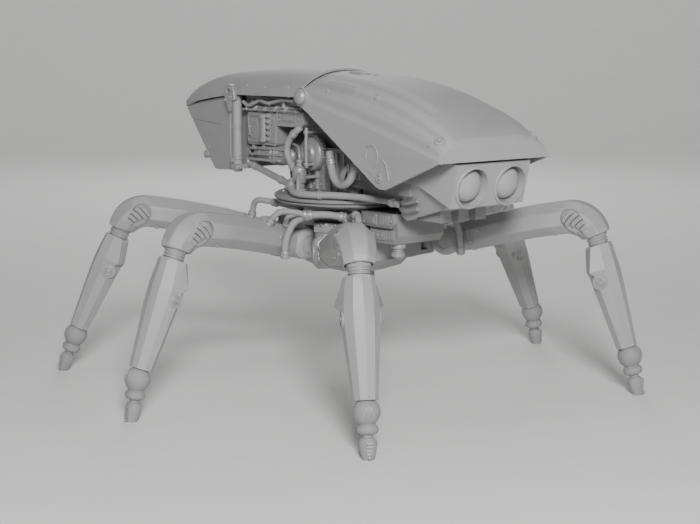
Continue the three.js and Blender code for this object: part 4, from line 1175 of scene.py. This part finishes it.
def bay_hoses(side):
    """Hoses that stay within the turret."""
    shape = Shape()
    for r, *route in (
            (1.8, (-102, 49, 256.5), (-94, 49.6, 253.4), (-84, 49.8, 255.6), (-73, 49.8, 258.6),
             (-62, 50, 256.4), (-52, 50, 257.6), (-38, 50, 260), (-20, 50, 259.6)),
            (3.0, (-17, 44, 236), (-20, 47.6, 232.6), (-29, 48.4, 225), (-33.5, 48.6, 214),
             (-29, 48.4, 204), (-23, 48, 197), (-17, 47, 190)),
            (3.6, (22, 42, 216), (26, 44, 204), (33, 45.6, 192.5), (43, 46, 187.6), (52.5, 45.6, 191.5),
             (58, 43.6, 201), (60, 41, 212))):
        pipe(shape, side, route, r)
    for f, left, z, r in ((33, 35, 206, 1.4), (36.5, 36, 208, 1.2), (30, 34, 206, 1.2)):
        pipe(shape, side, [(f - 4, left, 178), (f - 2, left + 2, 188), (f + 3, left + 3, 198),
                           (f + 8, left, z)], r)
    # thin pipe from the damper and the long hose it joins, which runs forward over the turntable's rim
    pipe(shape, side, [(-12, 51, 194), (-6, 56, 194.4), (1, 61.6, 191), (6, 65.4, 186), (9, 68, 181)], 1.7)
    pipe(shape, side, [(-16, 57, 188), (-8, 63, 184), (2, 68, 180.4), (14, 69.6, 179.4), (28, 66, 179.6),
                       (42, 58, 180), (58, 47, 179.4), (76, 40, 178.6), (92, 36, 178), (106, 34, 176)],
         3.1, 16, 9)
    return shape


def hose_ends(side):
    """Ferrules at the ends of the turret's hoses, cooling fins, and the bolts of the turntable."""
    at = mirrored(side)
    shape = Shape()
    for place, along, r in ((at(-24, 48, 229.6), (0, -0.6, 0.5), 3.8), (at(-26, 48, 200.6), (0, 0.7, 1), 3.8),
                            (at(25, 43.4, 207), (0, 0.3, 1), 4.5), (at(58.6, 43, 203), (0, 0.2, 1), 4.5),
                            (at(-8, 63, 184), (side, -1.6, -0.9), 4.0),
                            (at(34, 62.6, 179.7), (0.9, -1.4, 0), 3.9),
                            (at(99, 35, 177.2), (0, 1, 0), 4.2)):
        collar(shape, place, along, r, 5)
    for i in range(5):
        brick(shape, side, (45 + 3.2 * i, 46.6 + 3.2 * i), (33, 40.6 - 0.4 * i), (193, 207))
    for f in spread(-32, 28, 6):
        brick(shape, side, (f - 1.5, f + 1.5), (29.4, 32), (179.5, 214))
        screw(shape, at(f + 5, 30, 184), (side, 0, 0), 1.3, 0.9)
    for i in range(9):
        a = math.radians(22 + i * 17)
        screw(shape, at(62.5 * math.cos(a), 62.5 * math.sin(a), 177), UP, 1.7, 1.3)
    # damper's bracket and the thin pipe above it
    brick(shape, side, (-19, -9), (30, 47), (190, 192.4))
    pipe(shape, side, [(-14, 49, 206), (-14, 49, 212), (-20, 46, 218), (-30, 44, 220)], 1.2)
    return shape


def make_bay():
    for word, side in SIDES:
        piece("bay_panels_" + word, bay_panels(side), "frame", "turret", 0.2)
        piece("bay_rails_" + word, bay_rails(side), "metal", "turret", 0.1)
        piece("bay_hoses_" + word, bay_hoses(side), "rubber", "turret", 0)
        piece("hose_ends_" + word, hose_ends(side), "metal", "turret", 0.12)


# ---------- fittings of the hub ----------
def make_hub_trim():
    shape = Shape()
    for side in (1, -1):
        at = mirrored(side)
        out = Vector((side, 0, 0))
        brick(shape, side, (56, 74), (30.6, 32), (155.5, 164.4))
        brick(shape, side, (59, 71), (31.6, 32.8), (157.4, 162.4))
        for f in (78.5, 82, 85.5, 89):
            brick(shape, side, (f, f + 1.8), (30.6, 32.2), (156, 164))
        for f, z in ((57.4, 157), (72.6, 163), (93, 160)):
            screw(shape, at(f, 31.4, z), out, 1.3, 1.4)
        brick(shape, side, (62, 80), (26.6, 28.2), (142, 150.5))
        for f in spread(82.5, 92, 4):
            brick(shape, side, (f - 0.7, f + 0.7), (26.6, 28.2), (143, 151))
        for f in (65, 71, 77):
            screw(shape, at(f, 28, 146), out, 1.3, 1.0)
        # bearing caps of the front and middle legs, with the bolts that clear the slew ring
        for forward, left in ((38.7, 59.1), (-5.6, 34.3)):
            screw(shape, at(forward, left, 153), UP, 5.4, 1.4, 0.6, 28)
            for i in range(6):
                f, x = forward + 7.4 * math.cos(i * math.pi / 3), left + 7.4 * math.sin(i * math.pi / 3)
                if f * f + x * x > 48.5 ** 2:
                    screw(shape, at(f, x, 153), UP, 1.0, 0.8)
        for f, left in ((47, 22), (49, 38), (46, 49), (-64, 26), (-76, 26), (-84, 16)):
            screw(shape, at(f, left, 153), UP, 1.5, 1.0)
        # flange along the side of the frame
        for f, left in ((-30, 35.4), (-46, 30.6), (-60, 26.2)):
            screw(shape, at(f, left, 123.3), UP, 1.5, 1.0)
    # pair of upright cylinders on a bracket, left of the front block
    brick(shape, 1, (64, 87), (27, 39.6), (147.6, 150))
    for f in (69.5, 81):
        shape.turn([(4.6, 150), (5.2, 150.8), (5.2, 153), (4.5, 153.6), (4.5, 161.4), (5.1, 162),
                    (5.1, 164), (3.8, 165.2), (1.6, 165.4), (1.6, 167)], spot(f, 34, 0), UP, 28)
    # collared plug in the front block that takes the chin hose
    place = spot(92.6, -13, 0)
    shape.turn([(4.2, 163), (4.8, 163.8), (4.8, 166.4), (4.2, 167), (3.4, 167.4), (3.4, 169.6)], place,
               UP, 26)
    piece("hub_fittings", shape, "metal", "hub", 0.12)


# ---------- hoses that cross a joint ----------
def joining_hose(name, path, radius):
    """A hose, flexible on the real robot, that runs from one jointed body to another; the piece goes on no body
    and its place is baked into its mesh.
    """
    obj = piece(name, Shape().tube(path, radius, 14), "rubber", None, 0)
    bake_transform(obj)


HIP_HOSES = {  # radius, then the route as out from the hip, forward, up; the coupling sits on the third point
    "front": ((3.0, ((-27, 19, 24), (-16, 22, 29), (-2, 22.5, 31), (8, 23, 27), (15, 21, 14), (16.6, 19, 0),
                     (16.6, 17.2, -8))),),
    "mid": ((3.3, ((-8, 50, 27), (5, 43, 29.4), (14.8, 31.5, 28.6), (22, 21, 22.4), (27.6, 18.6, 13),
                   (30, 17.2, 2), (29.6, 16.4, -6))),
            (2.6, ((-8, 42, 27), (6, 38, 28), (17.4, 31, 29.4), (25.6, 25.5, 31.8), (33.6, 18, 32.4),
                   (38.8, 13, 28.6), (40.6, 9, 22.6))),
            (2.3, ((-10, 30, 27), (4, 30, 28), (15, 28, 29.6), (22.6, 25, 30), (27.8, 21.6, 28.8),
                   (27.8, 17, 25.6), (23.4, 11.6, 19)))),
    "rear": ((2.8, ((-30, 28, 24), (-20.5, 26, 27.6), (-7.8, 20, 30), (3.4, 14, 31.8), (8.4, 10.5, 31.4),
                    (11.4, 7.6, 28), (13.6, 4, 17))),),
}


def make_hip_hoses():
    per = 8
    for name in LEGS:
        place = to_mm(leg_places(name)["coxa"])
        flip = 1 if name.endswith("right") else -1
        row = name.split("_")[0]
        for i, (radius, points) in enumerate(HIP_HOSES[row]):
            path = smooth_path([place @ Vector((s, flip * t, z)) for s, t, z in points], per)
            middle = 2 * per
            joining_hose(f"{name}_hose_{i}_upper", path[:middle + 1], radius)
            joining_hose(f"{name}_hose_{i}_lower", path[middle:], radius)
            for word, k, body in (("root", 0, "hub"), ("coupling", middle, name + "_hip"),
                                  ("end", len(path) - 1, name + "_thigh")):
                piece(f"{name}_hose_{i}_{word}",
                      collar(Shape(), path[k], heading_at(path, k), radius + 1.1, 7), "metal", body, 0.12)


def make_chin_hose():
    points = [spot(92.6, -13, 168.6), spot(93.4, -12.6, 172), spot(96, -11.6, 176), spot(100, -10, 180),
              spot(104, -9, 184)]
    joining_hose("chin_hose", smooth_path(points, 6), 2.6)
    piece("chin_hose_end", collar(Shape(), spot(103, -9.2, 183), (0, -0.8, 1), 3.7, 5), "metal", "turret",
          0.12)


make_camera()
make_studio()
make_floor()
make_legs()

for part in ("hub_frame", "hub_deck", "front_block", "column", "spine", "equipment_box", "control_box",
             "neck_frame"):
    keep(part, "frame")
keep("power_pack", "rubber")
make_hood()
make_cowls()
make_tail()
make_head()
make_turned()
make_bay()
make_hub_trim()
make_hip_hoses()
make_chin_hose()
